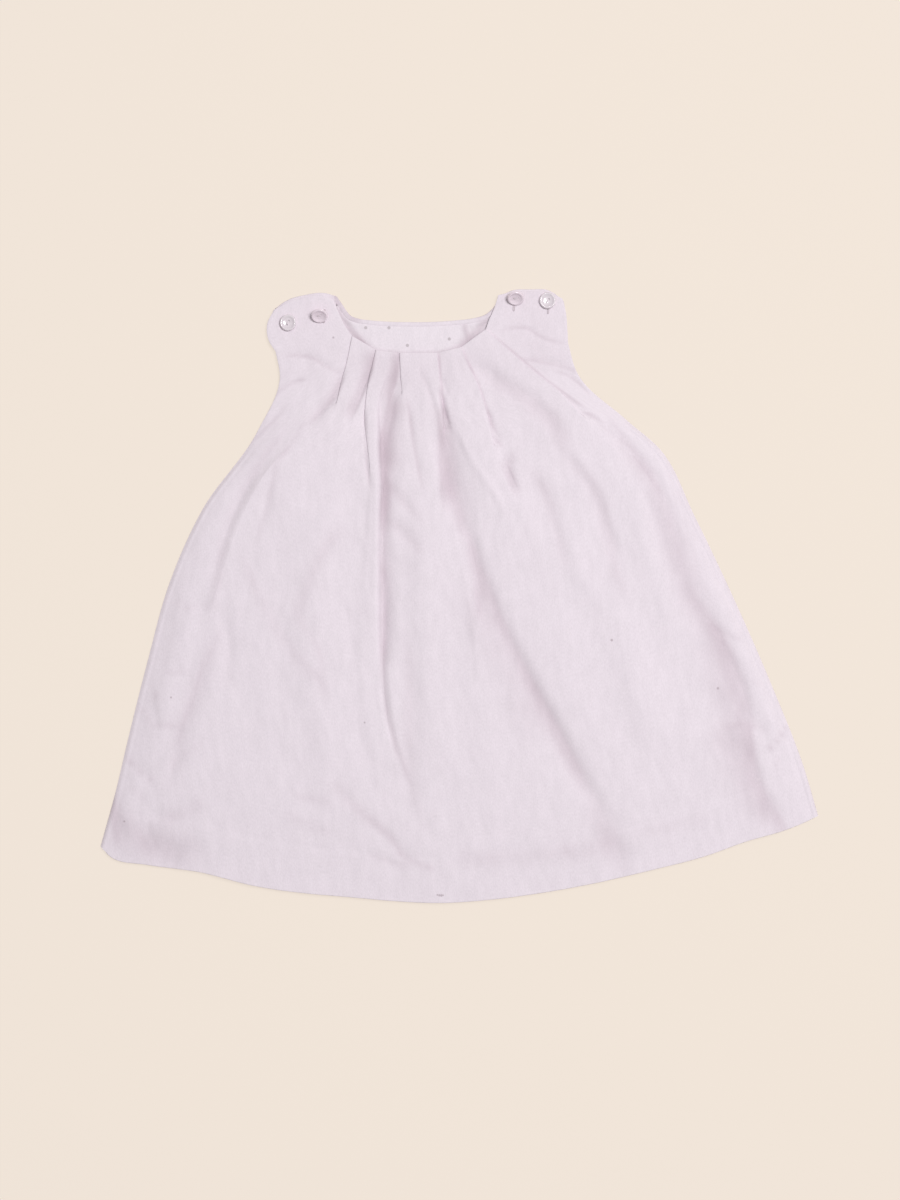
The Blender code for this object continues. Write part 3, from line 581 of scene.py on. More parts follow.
# Dots of the facing's print and small specks on the cloth, with their radius, how soft their rim
# is and how much of their colour shows
DOT_RADIUS = 1.15
DOTS = [(-66.4, 193.3), (-49.7, 193.3), (-36.4, 180.6), (-6.3, 185.2), (-21.5, 171.0),
        (-56.0, 171.5), (-29.0, 163.5), (-45.0, 165.0), (-72.5, 176.5), (5.5, 176.0),
        (12.5, 177.5), (-10.0, 163.0), (-36.0, 158.5), (-80.5, 183.5)]
SPECKS = [(-89.6, 186.1, 0.7), (110.2, -31.3, 0.9), (186.5, -65.9, 0.9), (-205.9, -72.4, 0.7),
          (-67.0, -90.4, 0.6), (-239.8, -161.6, 0.7), (-14.8, -214.2, 0.6), (-13.4, -214.5, 0.8),
          (-12.0, -214.6, 0.9), (-10.8, -214.5, 0.6)]
DOT_SOFT = 0.3
DOT_STRENGTH = 0.9
SPECK_SOFT = 0.45
SPECK_STRENGTH = 0.85

# Colours, as shares of red, green and blue light
LILAC = (0.81, 0.727, 0.787)
FACING_LILAC = (0.825, 0.747, 0.803)
SPECK_BROWN = (0.50, 0.42, 0.46)
DOT_GREY = (0.545, 0.48, 0.51)
PEARL = (0.80, 0.72, 0.745)
PEARL_DARK = (0.68, 0.60, 0.65)
PEARL_LIGHT = (0.84, 0.77, 0.81)
# Painted light: lighter and pinker, for the two tilted buttons, whose faces turn away from the lamp
TILTED_BUTTON_PAINTED_LIGHT = (0.83, 0.715, 0.785)
THREAD_LILAC = (0.78, 0.70, 0.745)
# Buttonhole mauve: partly the stitching's own colour, partly painted shade of the open slit
STITCH_AND_SLIT_SHADE_MAUVE = (0.56, 0.485, 0.525)
FLOOR_CREAM = (0.14, 0.125, 0.11)
FLOOR_DARK = (0.138, 0.123, 0.109)
FLOOR_LIGHT = (0.142, 0.126, 0.112)
FLOOR_GLOW = (0.88, 0.784, 0.694)
WHITE = (1.0, 1.0, 1.0)

# Patterns: features per metre across and down the cloth, or along the three axes
SLUBS = (1100, 520, 1)
MOTTLE = (210, 75, 1)
WARP = (2300, 260, 1)
WEFT = (260, 2300, 1)
PEARL_CLOUD = (260, 420, 260)
PEARL_GRAIN = (900, 900, 900)
THREAD_TWIST = (1500, 1500, 4000)
STITCHES = (300, 2600, 300)
FLOOR_GRAIN = (18, 18, 1)

# The slubs' and the mottling's shares of the cloth's pattern, the part of it that shows, the
# levels that it takes the colour to, and how much more the slubs stand out than the threads
SLUB_SHARE = 0.66
MOTTLE_SHARE = 0.34
CLOTH_CONTRAST = (0.3, 0.7)
CLOTH_LEVELS = (0.92, 1.07)
SLUB_RELIEF = 1.2

# How dark the painted shade is between a thread's strands, and how far the painted light on a
# tilted button reaches
THREAD_GROOVE_SHADE = 0.9
PAINTED_LIGHT_REACH = 8.5
PAINTED_LIGHT_SOFT = 2.0

# The camera looks straight down on the middle of its view; lamp places and sizes are in metres
VIEW_CENTRE = (-5.76, -2.52)
VIEW_LONG_SIDE = 864.0
CAMERA_HEIGHT = 2000.0
SENSOR = 36.0
FLOOR_SIZE = 40000.0
FLOOR_DROP = 0.1
FLOOR_GLOW_STRENGTH = 0.845
SKY_STRENGTH = 0.33
LAMP_SIZE = 1.1
LAMP_POWER = 68.0
LAMP_PLACE = (0.85, 0.6, 2.85)


def ease(value):
    """0 below 0, 1 above 1 and a smooth step between."""
    value = np.clip(value, 0, 1)
    return value * value * (3 - 2 * value)


def even(count):
    """Fractions from 0 to 1, evenly spaced."""
    return np.linspace(0, 1, count)


def run_along(points):
    """How far along a line each of its points lies."""
    points = np.asarray(points, float)
    return np.concatenate([[0], np.cumsum(np.linalg.norm(np.diff(points, axis=0), axis=1))])


def at_runs(points, wanted):
    """Places at these distances along a line of straight stretches."""
    points = np.asarray(points, float)
    run = run_along(points)
    return np.column_stack([np.interp(wanted, run, column) for column in points.T])


def line_through(points, fractions):
    """Places along a smooth curve through the points, at these fractions of its length."""
    points = np.array(points, float)
    chord = run_along(points)
    slope = np.gradient(points, chord, axis=0)
    at = np.linspace(0, chord[-1], CURVE_STEPS * len(points))
    k = np.clip(np.searchsorted(chord, at, side="right") - 1, 0, len(chord) - 2)
    span = (chord[k + 1] - chord[k])[:, None]
    s = (at - chord[k])[:, None] / span
    dense = (
        (2 * s**3 - 3 * s**2 + 1) * points[k]
        + (s**3 - 2 * s**2 + s) * span * slope[k]
        + (3 * s**2 - 2 * s**3) * points[k + 1]
        + (s**3 - s**2) * span * slope[k + 1]
    )
    return at_runs(dense, np.asarray(fractions) * run_along(dense)[-1])


def patch(top, foot, left, right, u, v):
    """A flat four-sided patch, row by row from the top, from its four edges."""
    u, v = u[None, :, None], v[:, None, None]
    ruled = (1 - v) * top[None] + v * foot[None] + (1 - u) * left[:, None] + u * right[:, None]
    corners = (
        (1 - v) * ((1 - u) * top[0] + u * top[-1]) + v * ((1 - u) * foot[0] + u * foot[-1])
    )
    return ruled - corners


def crease_height(place, creases, deepen=1.0, raised=1.0):
    """Height that the creases add at each place, with troughs deepened and crests raised."""
    height = np.zeros(place.shape[:-1])
    for number, (_, rise, left, right, course) in enumerate(creases):
        rise *= deepen if rise < 0 else raised
        line = line_through(course, even(CREASE_STEPS))
        reach = CREASE_REACH * max(left, right)
        near = ((place > line.min(0) - reach) & (place < line.max(0) + reach)).all(-1)
        away = place[near][:, None] - line
        nearest = (away**2).sum(-1).argmin(-1)
        along = np.gradient(line, axis=0)
        step = np.linalg.norm(along, axis=1)
        along /= step[:, None]
        offset = away[np.arange(len(away)), nearest]
        ahead = (offset * along[nearest]).sum(-1)
        beside = along[nearest, 0] * offset[:, 1] - along[nearest, 1] * offset[:, 0]
        at = (nearest + ahead / step[nearest]) / (CREASE_STEPS - 1)
        fade = ease(np.minimum(at, 1 - at) / CREASE_FADE)
        swell = 1 + CREASE_SWELL * np.sin(SWELL_WAVE * at + SWELL_SHIFT * number)
        width = np.where(beside > 0, right, left)
        height[near] += rise * fade * swell * np.exp(-((beside / width) ** 2))
    return height


def fold_shade(place, shades, creases):
    """How much painted shade darkens the cloth in its folds at each place, from 0 to 1."""
    troughs = [(name, -rise, *rest) for name, rise, *rest in creases if rise < 0]
    total = crease_height(place, shades) + CREASE_SHADE * crease_height(place, troughs)
    return np.tanh(total * (1 + SHADE_UNEVEN * crumple(place, *SHADE_PATTERN)))


def crumple(place, wide, long, shift):
    """Gentle unevenness between -1 and 1, longer down the dress than across it."""
    values = [noise.noise(Vector((x / wide, y / long, shift))) for x, y in place.reshape(-1, 2)]
    return np.array(values).reshape(place.shape[:-1])


def unevenness(place):
    """What is left of handling and pressing between the creases, between -1 and 1."""
    return sum(share * crumple(place, *pattern) for share, *pattern in UNEVEN_LAYERS)


def pleat_section(depth):
    """Distances across and heights of a pressed pleat's cloth, from its lower layer up."""
    r = FOLD_RADIUS
    bend = np.linspace(-math.pi / 2, math.pi / 2, BEND_STEPS + 1)
    across = np.concatenate([
        np.linspace(0, depth - r, FLAT_STEPS + 1)[:-1],
        depth - r + r * np.cos(bend),
        np.linspace(depth - r, r, FLAT_STEPS + 1)[1:-1],
        r - r * np.cos(bend),
    ])
    height = np.concatenate([
        np.zeros(FLAT_STEPS),
        r + r * np.sin(bend),
        np.full(FLAT_STEPS - 1, 2 * r),
        3 * r + r * np.sin(bend),
    ])
    return across, height


def pleat_bundle(pleat, run, room):
    """Offsets across the pleat's edge, and heights, of its columns at each row."""
    _, faces, depth, pressed, opened, soft_rise, soft_width, hem_rise, _ = pleat
    across, height = pleat_section(depth)
    flat = run_along(np.column_stack([across, height]))
    flat = flat / flat[-1] - 0.5
    fold = 1 - ease((run - pressed) / (opened - pressed))[:, None]
    beyond = np.clip((run - opened) / (run[-1] - opened), 0, 1)[:, None]
    width = np.minimum(soft_width * (1 + PLEAT_SPREAD * beyond), PLEAT_SHARE * room[:, None])
    rise = hem_rise + (soft_rise - hem_rise) * (1 - beyond) ** 2
    offset = fold * across + (1 - fold) * width * flat
    level = fold * height + (1 - fold) * rise * ease(flat + 0.5)
    if faces > 0:
        return -offset[:, ::-1], level[:, ::-1]
    return offset, level


def panel_steps(count, stretch, near_start, near_end):
    """Shares of the way across a panel at which its inner columns lie, row by row."""
    wide = stretch[:, None]
    first = np.array(near_start)[None] / wide
    last = 1 - np.array(near_end[::-1])[None] / wide
    low = first[:, -1:] if near_start else 0 * wide
    high = last[:, :1] if near_end else 0 * wide + 1
    middle = low + (high - low) * even(count + 1)[None, 1:-1]
    return np.concatenate([first, middle, last], axis=1)


def front_rows(length):
    """Shares of the length at which rows lie, closer at the neck, the hem and its inner line."""
    turned = np.array(TURNED_STEPS) / length
    pressed = np.linspace(turned[-1], PRESSED_SHARE, PRESSED_ROWS)[1:]
    skirt = np.linspace(PRESSED_SHARE, 1, SKIRT_ROWS)[1:]
    hem_line = 1 - (HEM_DEPTH + np.array(HEM_LINE_STEPS)) / length
    return np.unique(np.concatenate([[0], turned, pressed, skirt, hem_line, 1 - turned]))


def front_grid():
    """Places and pleat levels of the front below its straps, and each row's run from the neck."""
    length = run_along(PLEATS[2][-1])[-1]
    rows = front_rows(length)
    lines = [LEFT_EDGE] + [pleat[-1] for pleat in PLEATS] + [RIGHT_EDGE]
    edges = [line_through(line, rows) for line in lines]
    columns, levels = [edges[0]], [np.zeros(len(rows))]
    for number, count in enumerate(PANEL_COLUMNS):
        near_start, near_end = (), ()
        start, start_level = columns[-1], levels[-1]
        if number == 0:
            near_start, near_end = SIDE_STEPS, TURNED_STEPS
        if number == len(PLEATS):
            near_start, near_end = TURNED_STEPS, SIDE_STEPS
            bundle, heights = edges[-1][:, None], np.zeros((len(rows), 1))
        else:
            pleat, edge = PLEATS[number], edges[number + 1]
            across = edge - edges[number] if pleat[1] > 0 else edges[number + 2] - edge
            across /= np.linalg.norm(across, axis=1)[:, None]
            room = np.minimum(np.linalg.norm(edge - edges[number], axis=1),
                              np.linalg.norm(edges[number + 2] - edge, axis=1))
            row_runs = rows * run_along(lines[number + 1])[-1]
            offset, heights = pleat_bundle(pleat, row_runs, room)
            bundle = edge[:, None] + offset[..., None] * across[:, None]
        stretch = np.linalg.norm(bundle[:, 0] - start, axis=1)
        hold = np.minimum(PLEAT_HOLD / np.maximum(stretch, 1), HOLD_SHARE)
        for t in panel_steps(count, stretch, near_start, near_end).T:
            columns.append(start + t[:, None] * (bundle[:, 0] - start))
            down = start_level * (1 - ease((t - hold) / (1 - hold)))
            up = heights[:, 0] * ease(t / (1 - hold))
            levels.append(np.maximum(down, up))
        columns.extend(bundle.transpose(1, 0, 2))
        levels.extend(heights.T)
    place, level = np.stack(columns, 1), np.stack(levels, 1)
    hem = line_through(HEM, even(HEM_CURVE_STEPS)) + [0, (HEM_SPACE + CLOTH) / 2]
    miss = np.interp(place[-1, :, 0], hem[:, 0], hem[:, 1]) - place[-1, :, 1]
    corner = np.zeros(place.shape[1])
    corner[: HEM_SIDE_COLUMNS["front"]] = corner[-HEM_SIDE_COLUMNS["front"] :] = HEM_SPACE / 2
    place[..., 1] += (miss - corner)[None] * rows[:, None] ** HEM_CURVE_POWER
    return place, level, rows * length


def front_height(place, level, run):
    """Height of the middle of the front's cloth at each place of its grid."""
    from_side = np.minimum(
        np.linalg.norm(place - place[:, :1], axis=-1),
        np.linalg.norm(place - place[:, -1:], axis=-1),
    )
    run = run[:, None]
    from_hem = run[-1] - run
    edge_level = FRONT_LEVEL - (FRONT_LEVEL - EDGE_LEVEL) * ease(run / ARMHOLE_DROP)
    roll = np.exp(-from_side / EDGE_ROLL)
    full = 1 - np.exp(-from_side / FULL_EDGE)
    full *= ease((run - FULL_START[0]) / (FULL_START[1] - FULL_START[0]))
    full *= FULL_HEM[1] + (1 - FULL_HEM[1]) * ease(from_hem / FULL_HEM[0])
    base = FRONT_LEVEL + (edge_level - FRONT_LEVEL) * roll + FULLNESS * full
    near_neck = 1 - ease((run - NECK_REST[0]) / (NECK_REST[1] - NECK_REST[0]))
    lowest = VALLEY_FLOOR + (EDGE_LEVEL - VALLEY_FLOOR) * np.maximum(roll, near_neck)
    in_hem = 1 - ease((from_hem - HEM_DEPTH) / HEM_FADE)
    lowest = np.maximum(lowest, VALLEY_FLOOR + (HEM_FLOOR - VALLEY_FLOOR) * in_hem)
    relief = crease_height(place, CREASES, TROUGH_DEPTH, CREST_HEIGHT) * (1 - CREASE_CALM * roll)
    relief += UNEVEN * unevenness(place) * (1 - UNEVEN_CALM * roll) * ease(run / UNEVEN_START)
    spare = base + relief - lowest
    soft = SOFT_FLOOR * np.exp(np.minimum(spare / SOFT_FLOOR - 1, 0))
    settled = lowest + np.where(spare > SOFT_FLOOR, spare, soft)
    puff = HEM_PUFF * (1 - ease((from_hem - HEM_DEPTH + HEM_PUFF_FADE[0]) / HEM_PUFF_FADE[1]))
    line = np.exp(-(((from_hem - HEM_DEPTH) / HEM_LINE_WIDTH) ** 2))
    pull = np.clip(HEM_LINE_PULL + crumple(place, *HEM_LINE_PATTERN), 0, 1)
    pulled = HEM_LINE_DIP * line * pull
    return settled + level + PROUD + puff - pulled


def strap_columns():
    """How many columns of the front's first row the left and the right strap take up."""
    near = len(SIDE_STEPS) + len(TURNED_STEPS) + 1
    return PANEL_COLUMNS[0] + near, PANEL_COLUMNS[-1] + near


def front_strap(side, base):
    """Rows of a front strap, from its rounded end down to the front's own first row."""
    strap = STRAPS[side]
    u = run_along(base[:, :2])
    u /= u[-1]
    near = np.array(TURNED_STEPS) / STRAP_LENGTH
    v = np.concatenate([[0], near, np.linspace(near[-1], 1, STRAP_ROWS)[1:]])
    sides = [line_through(strap["front_armhole"], 1 - v), line_through(strap["front_neck"], 1 - v)]
    left, right = sides if side == "left" else sides[::-1]
    top, foot = line_through(strap["front_end"], u), base[:, :2]
    left[-1], right[-1] = foot[0], foot[-1]
    place = patch(top, foot, left, right, u, v)
    height = FRONT_LEVEL + PROUD + crease_height(place, CREASES)
    height += (base[:, 2] - height[-1]) * ease(v)[:, None]
    return np.dstack([place, height])


def edge_tree(stretches):
    """A search tree of edges, with each of its points' radius and its share of seam."""
    points, radius, seam = [], [], []
    for line, seamed in stretches:
        run = np.arange(0, run_along(line)[-1], EDGE_SPACING)
        share = ease((run - SEAM_START[0]) / (SEAM_START[1] - SEAM_START[0])) * seamed
        points.append(at_runs(line, run))
        radius.append(TURNED_ROUND + (SEAM_ROUND - TURNED_ROUND) * share)
        seam.append(share)
    points = np.concatenate(points)
    tree = kdtree.KDTree(len(points))
    for number, (x, y) in enumerate(points):
        tree.insert((x, y, 0), number)
    tree.balance()
    return tree, np.concatenate(radius), np.concatenate(seam)


def turn_down(rows, edges):
    """Rounds the cloth down at its edges, by its own radius or, at a seam, down to the back."""
    tree, radius, seam = edges
    for point in rows.reshape(-1, 3):
        _, number, away = tree.find((point[0], point[1], 0))
        seamed = seam[number]
        from_ditch = (away - ALLOWANCE) / DITCH_WIDTH
        from_puff = (away - ALLOWANCE / 2) / ALLOWANCE_PUFF_WIDTH
        ditch = DITCH_DEPTH[int(point[0] > 0)] * math.exp(-(from_ditch**2))
        puff = ALLOWANCE_PUFF * math.exp(-(from_puff**2))
        point[2] += seamed * (puff - ditch)
        if away < radius[number]:
            fall = (1 - seamed) * TURNED_FALL + seamed * (point[2] - SEAM_LEVEL)
            point[2] -= fall * (1 - away / radius[number]) ** 2


def hem_turn(rows, run, up):
    """Rows that carry a piece's last row round the hem and back inside it, and their runs."""
    last = rows[-1]
    outward = rows[-1, :, :2] - rows[-2, :, :2]
    outward /= np.linalg.norm(outward, axis=1)[:, None]
    made, runs = [], []
    for angle in np.radians(HEM_BEND):
        out = outward * (HEM_SPACE / 2 * math.sin(angle))
        height = last[:, 2] + up * HEM_SPACE / 2 * (1 - math.cos(angle))
        made.append(np.column_stack([last[:, :2] + out, height]))
        runs.append(run[-1] + HEM_BEND_PACE * angle)
    for number in np.flatnonzero(run > run[-1] - HEM_DEPTH)[::-1]:
        made.append(rows[number] + [0, 0, up * HEM_SPACE])
        runs.append(2 * run[-1] - run[number] + HEM_BEND_LENGTH)
    return np.array(made), np.array(runs)


def cloth_places(rows, run, middle):
    """Each point's place on the flat cloth: across from the middle column, and down."""
    steps = np.linalg.norm(np.diff(rows, axis=1), axis=-1)
    across = np.concatenate([np.zeros((len(rows), 1)), np.cumsum(steps, axis=1)], axis=1)
    across -= across[:, middle : middle + 1]
    return np.dstack([across, np.broadcast_to(-run[:, None], across.shape)])


def strap_places(strap, base):
    """Places on the flat cloth of a strap's rows, which end at the piece's first row."""
    steps = np.linalg.norm(np.diff(strap, axis=0), axis=-1)[::-1]
    up = np.concatenate([np.cumsum(steps, axis=0)[::-1], np.zeros((1, strap.shape[1]))])
    return np.dstack([np.broadcast_to(base[:, 0], up.shape), up])


def hem_grid(rows, places, run, up, skipped):
    """The turned-up hem as a grid that starts at the piece's last row, with its places."""
    rows, places = rows[:, skipped:-skipped], places[:, skipped:-skipped]
    turned, turned_run = hem_turn(rows, run, up)
    hem_rows = np.concatenate([rows[-1:], turned])
    down = -np.concatenate([run[-1:], turned_run])[:, None]
    shape = hem_rows.shape[:2]
    return hem_rows, np.dstack([
        np.broadcast_to(places[-1, :, 0], shape), np.broadcast_to(down, shape)
    ])


def add_grid(mesh, rows, places, shade):
    """Adds a grid through these rows of points, each with its place on the flat cloth and its
    painted shade.
    """
    place_layer = mesh.verts.layers.float_vector["cloth_place"]
    shade_layer = mesh.verts.layers.float["fold_shade"]
    down, across = rows.shape[:2]
    made = bmesh.ops.create_grid(mesh, x_segments=across - 1, y_segments=down - 1, size=0.5)
    points, places = rows.reshape(-1, 3), places.reshape(-1, 2)
    for vertex, point, (u, v), dark in zip(made["verts"], points, places, shade.reshape(-1)):
        vertex.co = Vector(point) * MM
        vertex[place_layer] = (u * MM, v * MM, 0)
        vertex[shade_layer] = dark


def place_mesh(name, mesh, look):
    """A smooth-shaded object from this mesh, with its material."""
    data = bpy.data.meshes.new(name)
    mesh.to_mesh(data)
    mesh.free()
    made = bpy.data.objects.new(name, data)
    bpy.context.scene.collection.objects.link(made)
    data.materials.append(look)
    data.shade_smooth()
    return made


def cloth_piece(name, grids, thickness, look, shades=(), creases=()):
    """A cloth piece: grids that share edges, welded and given a wall about their middle."""
    mesh = bmesh.new()
    mesh.verts.layers.float_vector.new("cloth_place")
    mesh.verts.layers.float.new("fold_shade")
    for rows, places in grids:
        add_grid(mesh, rows, places, fold_shade(rows[..., :2], shades, creases))
    bmesh.ops.remove_doubles(mesh, verts=mesh.verts, dist=WELD * MM)
    bmesh.ops.reverse_faces(mesh, faces=mesh.faces)
    piece = place_mesh(name, mesh, look)
    wall = piece.modifiers.new("wall", "SOLIDIFY")
    wall.thickness = thickness * MM
    wall.offset = 0
    return piece


def front(look):
    """The front and its straps in one piece, with its hem turned up inside."""
    place, level, run = front_grid()
    rows = np.dstack([place, front_height(place, level, run)])
    left_count, right_count = strap_columns()
    left_strap = front_strap("left", rows[0, :left_count])
    right_strap = front_strap("right", rows[0, -right_count:])
    neck = rows[0, left_count - 1 : rows.shape[1] - right_count + 1, :2]
    edges = edge_tree([
        (rows[:, 0, :2], 1), (rows[:, -1, :2], 1), (neck, 0),
        (left_strap[:, 0, :2], 0), (left_strap[0, :, :2], 0), (left_strap[:, -1, :2], 0),
        (right_strap[:, 0, :2], 0), (right_strap[0, :, :2], 0), (right_strap[:, -1, :2], 0),
    ])
    for part in (rows, left_strap, right_strap):
        turn_down(part, edges)
    left_strap[-1], right_strap[-1] = rows[0, :left_count], rows[0, -right_count:]
    places = cloth_places(rows, run, rows.shape[1] // 2)
    grids = [
        (rows, places),
        (left_strap, strap_places(left_strap, places[0, :left_count])),
        (right_strap, strap_places(right_strap, places[0, -right_count:])),
        hem_grid(rows, places, run, -1, HEM_SIDE_COLUMNS["front"]),
    ]
    return cloth_piece("front", grids, CLOTH, look, FOLD_SHADES, CREASES), grids


def inward_from(course):
    """The direction into the cloth on the right-hand side of a course."""
    along = np.gradient(course, axis=0)
    along /= np.linalg.norm(along, axis=1)[:, None]
    return np.column_stack([along[:, 1], -along[:, 0]])


def back_strap(side, base, neck_side):
    """Rows of a back strap, from its folded-over end round the shoulder fold to its base."""
    strap = STRAPS[side]
    u, v = even(len(base)), even(BACK_STRAP_ROWS)
    radius = (TURNED_MIDDLE - BACK_MIDDLE) / 2
    fold = line_through(strap["back_fold"], u) - [0, radius + CLOTH / 2]
    sides = [line_through(strap["back_armhole"], 1 - v), neck_side]
    left, right = sides if side == "left" else sides[::-1]
    left[0], right[0] = fold[0], fold[-1]
    left[-1], right[-1] = base[0], base[-1]
    flat = patch(fold, base, left, right, u, v)[::-1]
    rows = [np.column_stack([row, np.full(len(u), BACK_MIDDLE)]) for row in flat]
    pinch = 1 - STRAP_PINCH * (1 - ease(np.minimum(u, 1 - u) / STRAP_PINCH_SHARE))
    inward = TURNED_INSET * (1 - 2 * u)
    for step in even(SHOULDER_BEND_STEPS)[1:]:
        angle = math.pi * step
        at = fold + np.column_stack([inward * step, radius * math.sin(angle) * pinch])
        height = BACK_MIDDLE + radius * (1 - math.cos(angle)) * pinch
        rows.append(np.column_stack([at, height]))
    top, end = rows[-1], line_through(strap["turned_end"], u)
    for step in even(TURNED_ROWS)[1:]:
        at = top[:, :2] + step * (end - top[:, :2])
        rows.append(np.column_stack([at, top[:, 2] + step * (TURNED_MIDDLE - top[:, 2])]))
    return np.array(rows[::-1])


def neck_roll(edge, inward):
    """Rows of the outer cloth that is rolled over the back's neck edge, from the edge inwards."""
    share = run_along(edge) / run_along(edge)[-1]
    from_end = ease(np.minimum(share, 1 - share) / NECK_ROLL_FLAT)
    full = NECK_ROLL_END + (1 - NECK_ROLL_END) * from_end
    radius = NECK_ROLL_RADIUS * full
    rows = []
    for angle in np.linspace(-math.pi / 2, math.pi / 2, NECK_ROLL_STEPS + 1):
        at = edge - inward * (radius * math.cos(angle))[:, None]
        rows.append(np.column_stack([at, BACK_MIDDLE + radius * (1 + math.sin(angle))]))
    for distance, sink in zip(NECK_ROLL_STRIP, NECK_ROLL_SINK):
        at = edge + inward * distance
        rows.append(np.column_stack([at, BACK_MIDDLE + 2 * radius - sink * full]))
    return np.array(rows)


def back_height(flat, front_rows_above):
    """Height of the middle of the back's cloth, lifted by creases where the front leaves room."""
    above = front_rows_above[::BACK_ROOM_STRIDE, ::BACK_ROOM_STRIDE].reshape(-1, 3)
    tree = kdtree.KDTree(len(above))
    for number, (x, y, _) in enumerate(above):
        tree.insert((x, y, 0), number)
    tree.balance()
    room = np.empty(flat.shape[:2])
    for at, (x, y) in zip(np.ndindex(room.shape), flat.reshape(-1, 2)):
        _, number, _ = tree.find((x, y, 0))
        room[at] = above[number][2] - BACK_ROOM - BACK_MIDDLE
    run = run_along(flat[:, flat.shape[1] // 2])[:, None]
    from_hem = run[-1] - run
    from_side = np.minimum(
        np.linalg.norm(flat - flat[:, :1], axis=-1), np.linalg.norm(flat - flat[:, -1:], axis=-1)
    )
    lift = crease_height(flat, BACK_CREASES) + BACK_UNEVEN * np.maximum(unevenness(flat), 0)
    lift = np.minimum(lift, np.maximum(room, 0))
    above_hem = ease((from_hem - HEM_DEPTH + BACK_FLAT_HEM[0]) / BACK_FLAT_HEM[1])
    inside = ease((from_side - BACK_FLAT_SIDE[0]) / BACK_FLAT_SIDE[1])
    lift *= inside * ease(run / BACK_FLAT_NECK) * above_hem
    below_armhole = ease((run - SEAM_START[0]) / (SEAM_START[1] - SEAM_START[0]))
    curl = BACK_CURL * (1 - ease(from_side / BACK_CURL_WIDTH)) * below_armhole
    return BACK_MIDDLE + lift + curl


def back(front_rows_above, look):
    """The back and its straps in one piece, flat underneath, with its neck edge rolled over."""
    left_share, right_share = BACK_NECK_STRAPS
    course = line_through(BACK_NECK, np.concatenate([
        np.linspace(0, left_share, BACK_STRAP_ROWS),
        np.linspace(left_share, right_share, BACK_NECK_COLUMNS)[1:-1],
        np.linspace(right_share, 1, BACK_STRAP_ROWS),
    ]))
    inward = inward_from(course)
    edge = course + inward * (NECK_ROLL_RADIUS + CLOTH / 2)
    left_side, right_side = edge[:BACK_STRAP_ROWS].copy(), edge[-BACK_STRAP_ROWS:].copy()
    neck = edge[BACK_STRAP_ROWS - 1 : -BACK_STRAP_ROWS + 1]
    left_base, right_base = (
        line_through([STRAPS[side]["back_armhole"][0], STRAPS[side]["back_base"], corner],
                     even(BACK_STRAP_COLUMNS))
        for side, corner in (("left", neck[0]), ("right", neck[-1]))
    )
    right_base = right_base[::-1]
    left_strap = back_strap("left", left_base, left_side)
    right_strap = back_strap("right", right_base, right_side[::-1])

    top = np.concatenate([left_base, neck[1:-1], right_base])
    u, v = run_along(top) / run_along(top)[-1], even(BACK_ROWS)
    left = line_through(LEFT_EDGE, v) + [BACK_INSET, 0]
    right = line_through(RIGHT_EDGE, v) - [BACK_INSET, 0]
    foot = line_through(HEM, u) + [0, BACK_INSET + (HEM_SPACE + CLOTH) / 2]
    foot[0], foot[-1] = left[-1], right[-1]
    left[0], right[0] = top[0], top[-1]
    flat = patch(top, foot, left, right, u, v)
    rows = np.dstack([flat, back_height(flat, front_rows_above)])

    middle = len(top) // 2
    run = v * run_along(flat[:, middle])[-1]
    places = cloth_places(rows, run, middle)
    roll = neck_roll(np.concatenate([left_side, neck[1:-1], right_side]), inward)
    grids = [
        (rows, places),
        (left_strap, strap_places(left_strap, places[0, :BACK_STRAP_COLUMNS])),
        (right_strap, strap_places(right_strap, places[0, -BACK_STRAP_COLUMNS:])),
        (roll[::-1], strap_places(roll[::-1], np.column_stack([run_along(course)] * 2))),
        hem_grid(rows, places, run, 1, HEM_SIDE_COLUMNS["back"]),
    ]
    return cloth_piece("back", grids, CLOTH, look, BACK_SHADES), grids


def facing(look):
    """The facing inside the back neck: bright, dotted, its upper edge sunk into its seam."""
    course = line_through(BACK_NECK, np.linspace(*FACING_SPAN, 3 * FACING_COLUMNS))
    inner = course + FACING_INSET * inward_from(course)
    u = even(FACING_COLUMNS)
    top, foot = at_runs(inner, u * run_along(inner)[-1]), line_through(FACING_FOOT, u)
    v = np.concatenate([FACING_TOP_ROWS, np.linspace(FACING_FIRST_ROW, 1, FACING_ROWS)])
    left = top[0] + v[:, None] * (foot[0] - top[0])
    right = top[-1] + v[:, None] * (foot[-1] - top[-1])
    place = patch(top, foot, left, right, u, v)
    from_top = np.linalg.norm(place - place[:1], axis=-1)
    height = FACING_LEVEL - FACING_SINK * np.exp(-((from_top / FACING_SINK_WIDTH) ** 2))
    height += crease_height(place, FACING_CREASES) * ease(from_top / FACING_FLAT)
    height += FACING_UNEVEN * crumple(place, *FACING_PATTERN) * ease(from_top / FACING_FLAT)
    rows = np.dstack([place, height])
    run = run_along(rows[:, FACING_COLUMNS // 2])
    grids = [(rows, cloth_places(rows, run, FACING_COLUMNS // 2))]
    made = cloth_piece("facing", grids, FACING_CLOTH, look, FACING_SHADES, FACING_CREASES)
    return made, grids


def button_matrix(centre, tilt):
    """A button's place: level on the strap, or with its neck side raised out of its slit."""
    lean = math.radians(tilt)
    lift = (BUTTON_RADIUS - TILT_RELIEF) * abs(math.sin(lean))
    rise = FRONT_LEVEL + WALL / 2 + SEAM_GAP + lift
    return Matrix.Translation(Vector((*centre, rise)) * MM) @ Matrix.Rotation(lean, 4, "X")


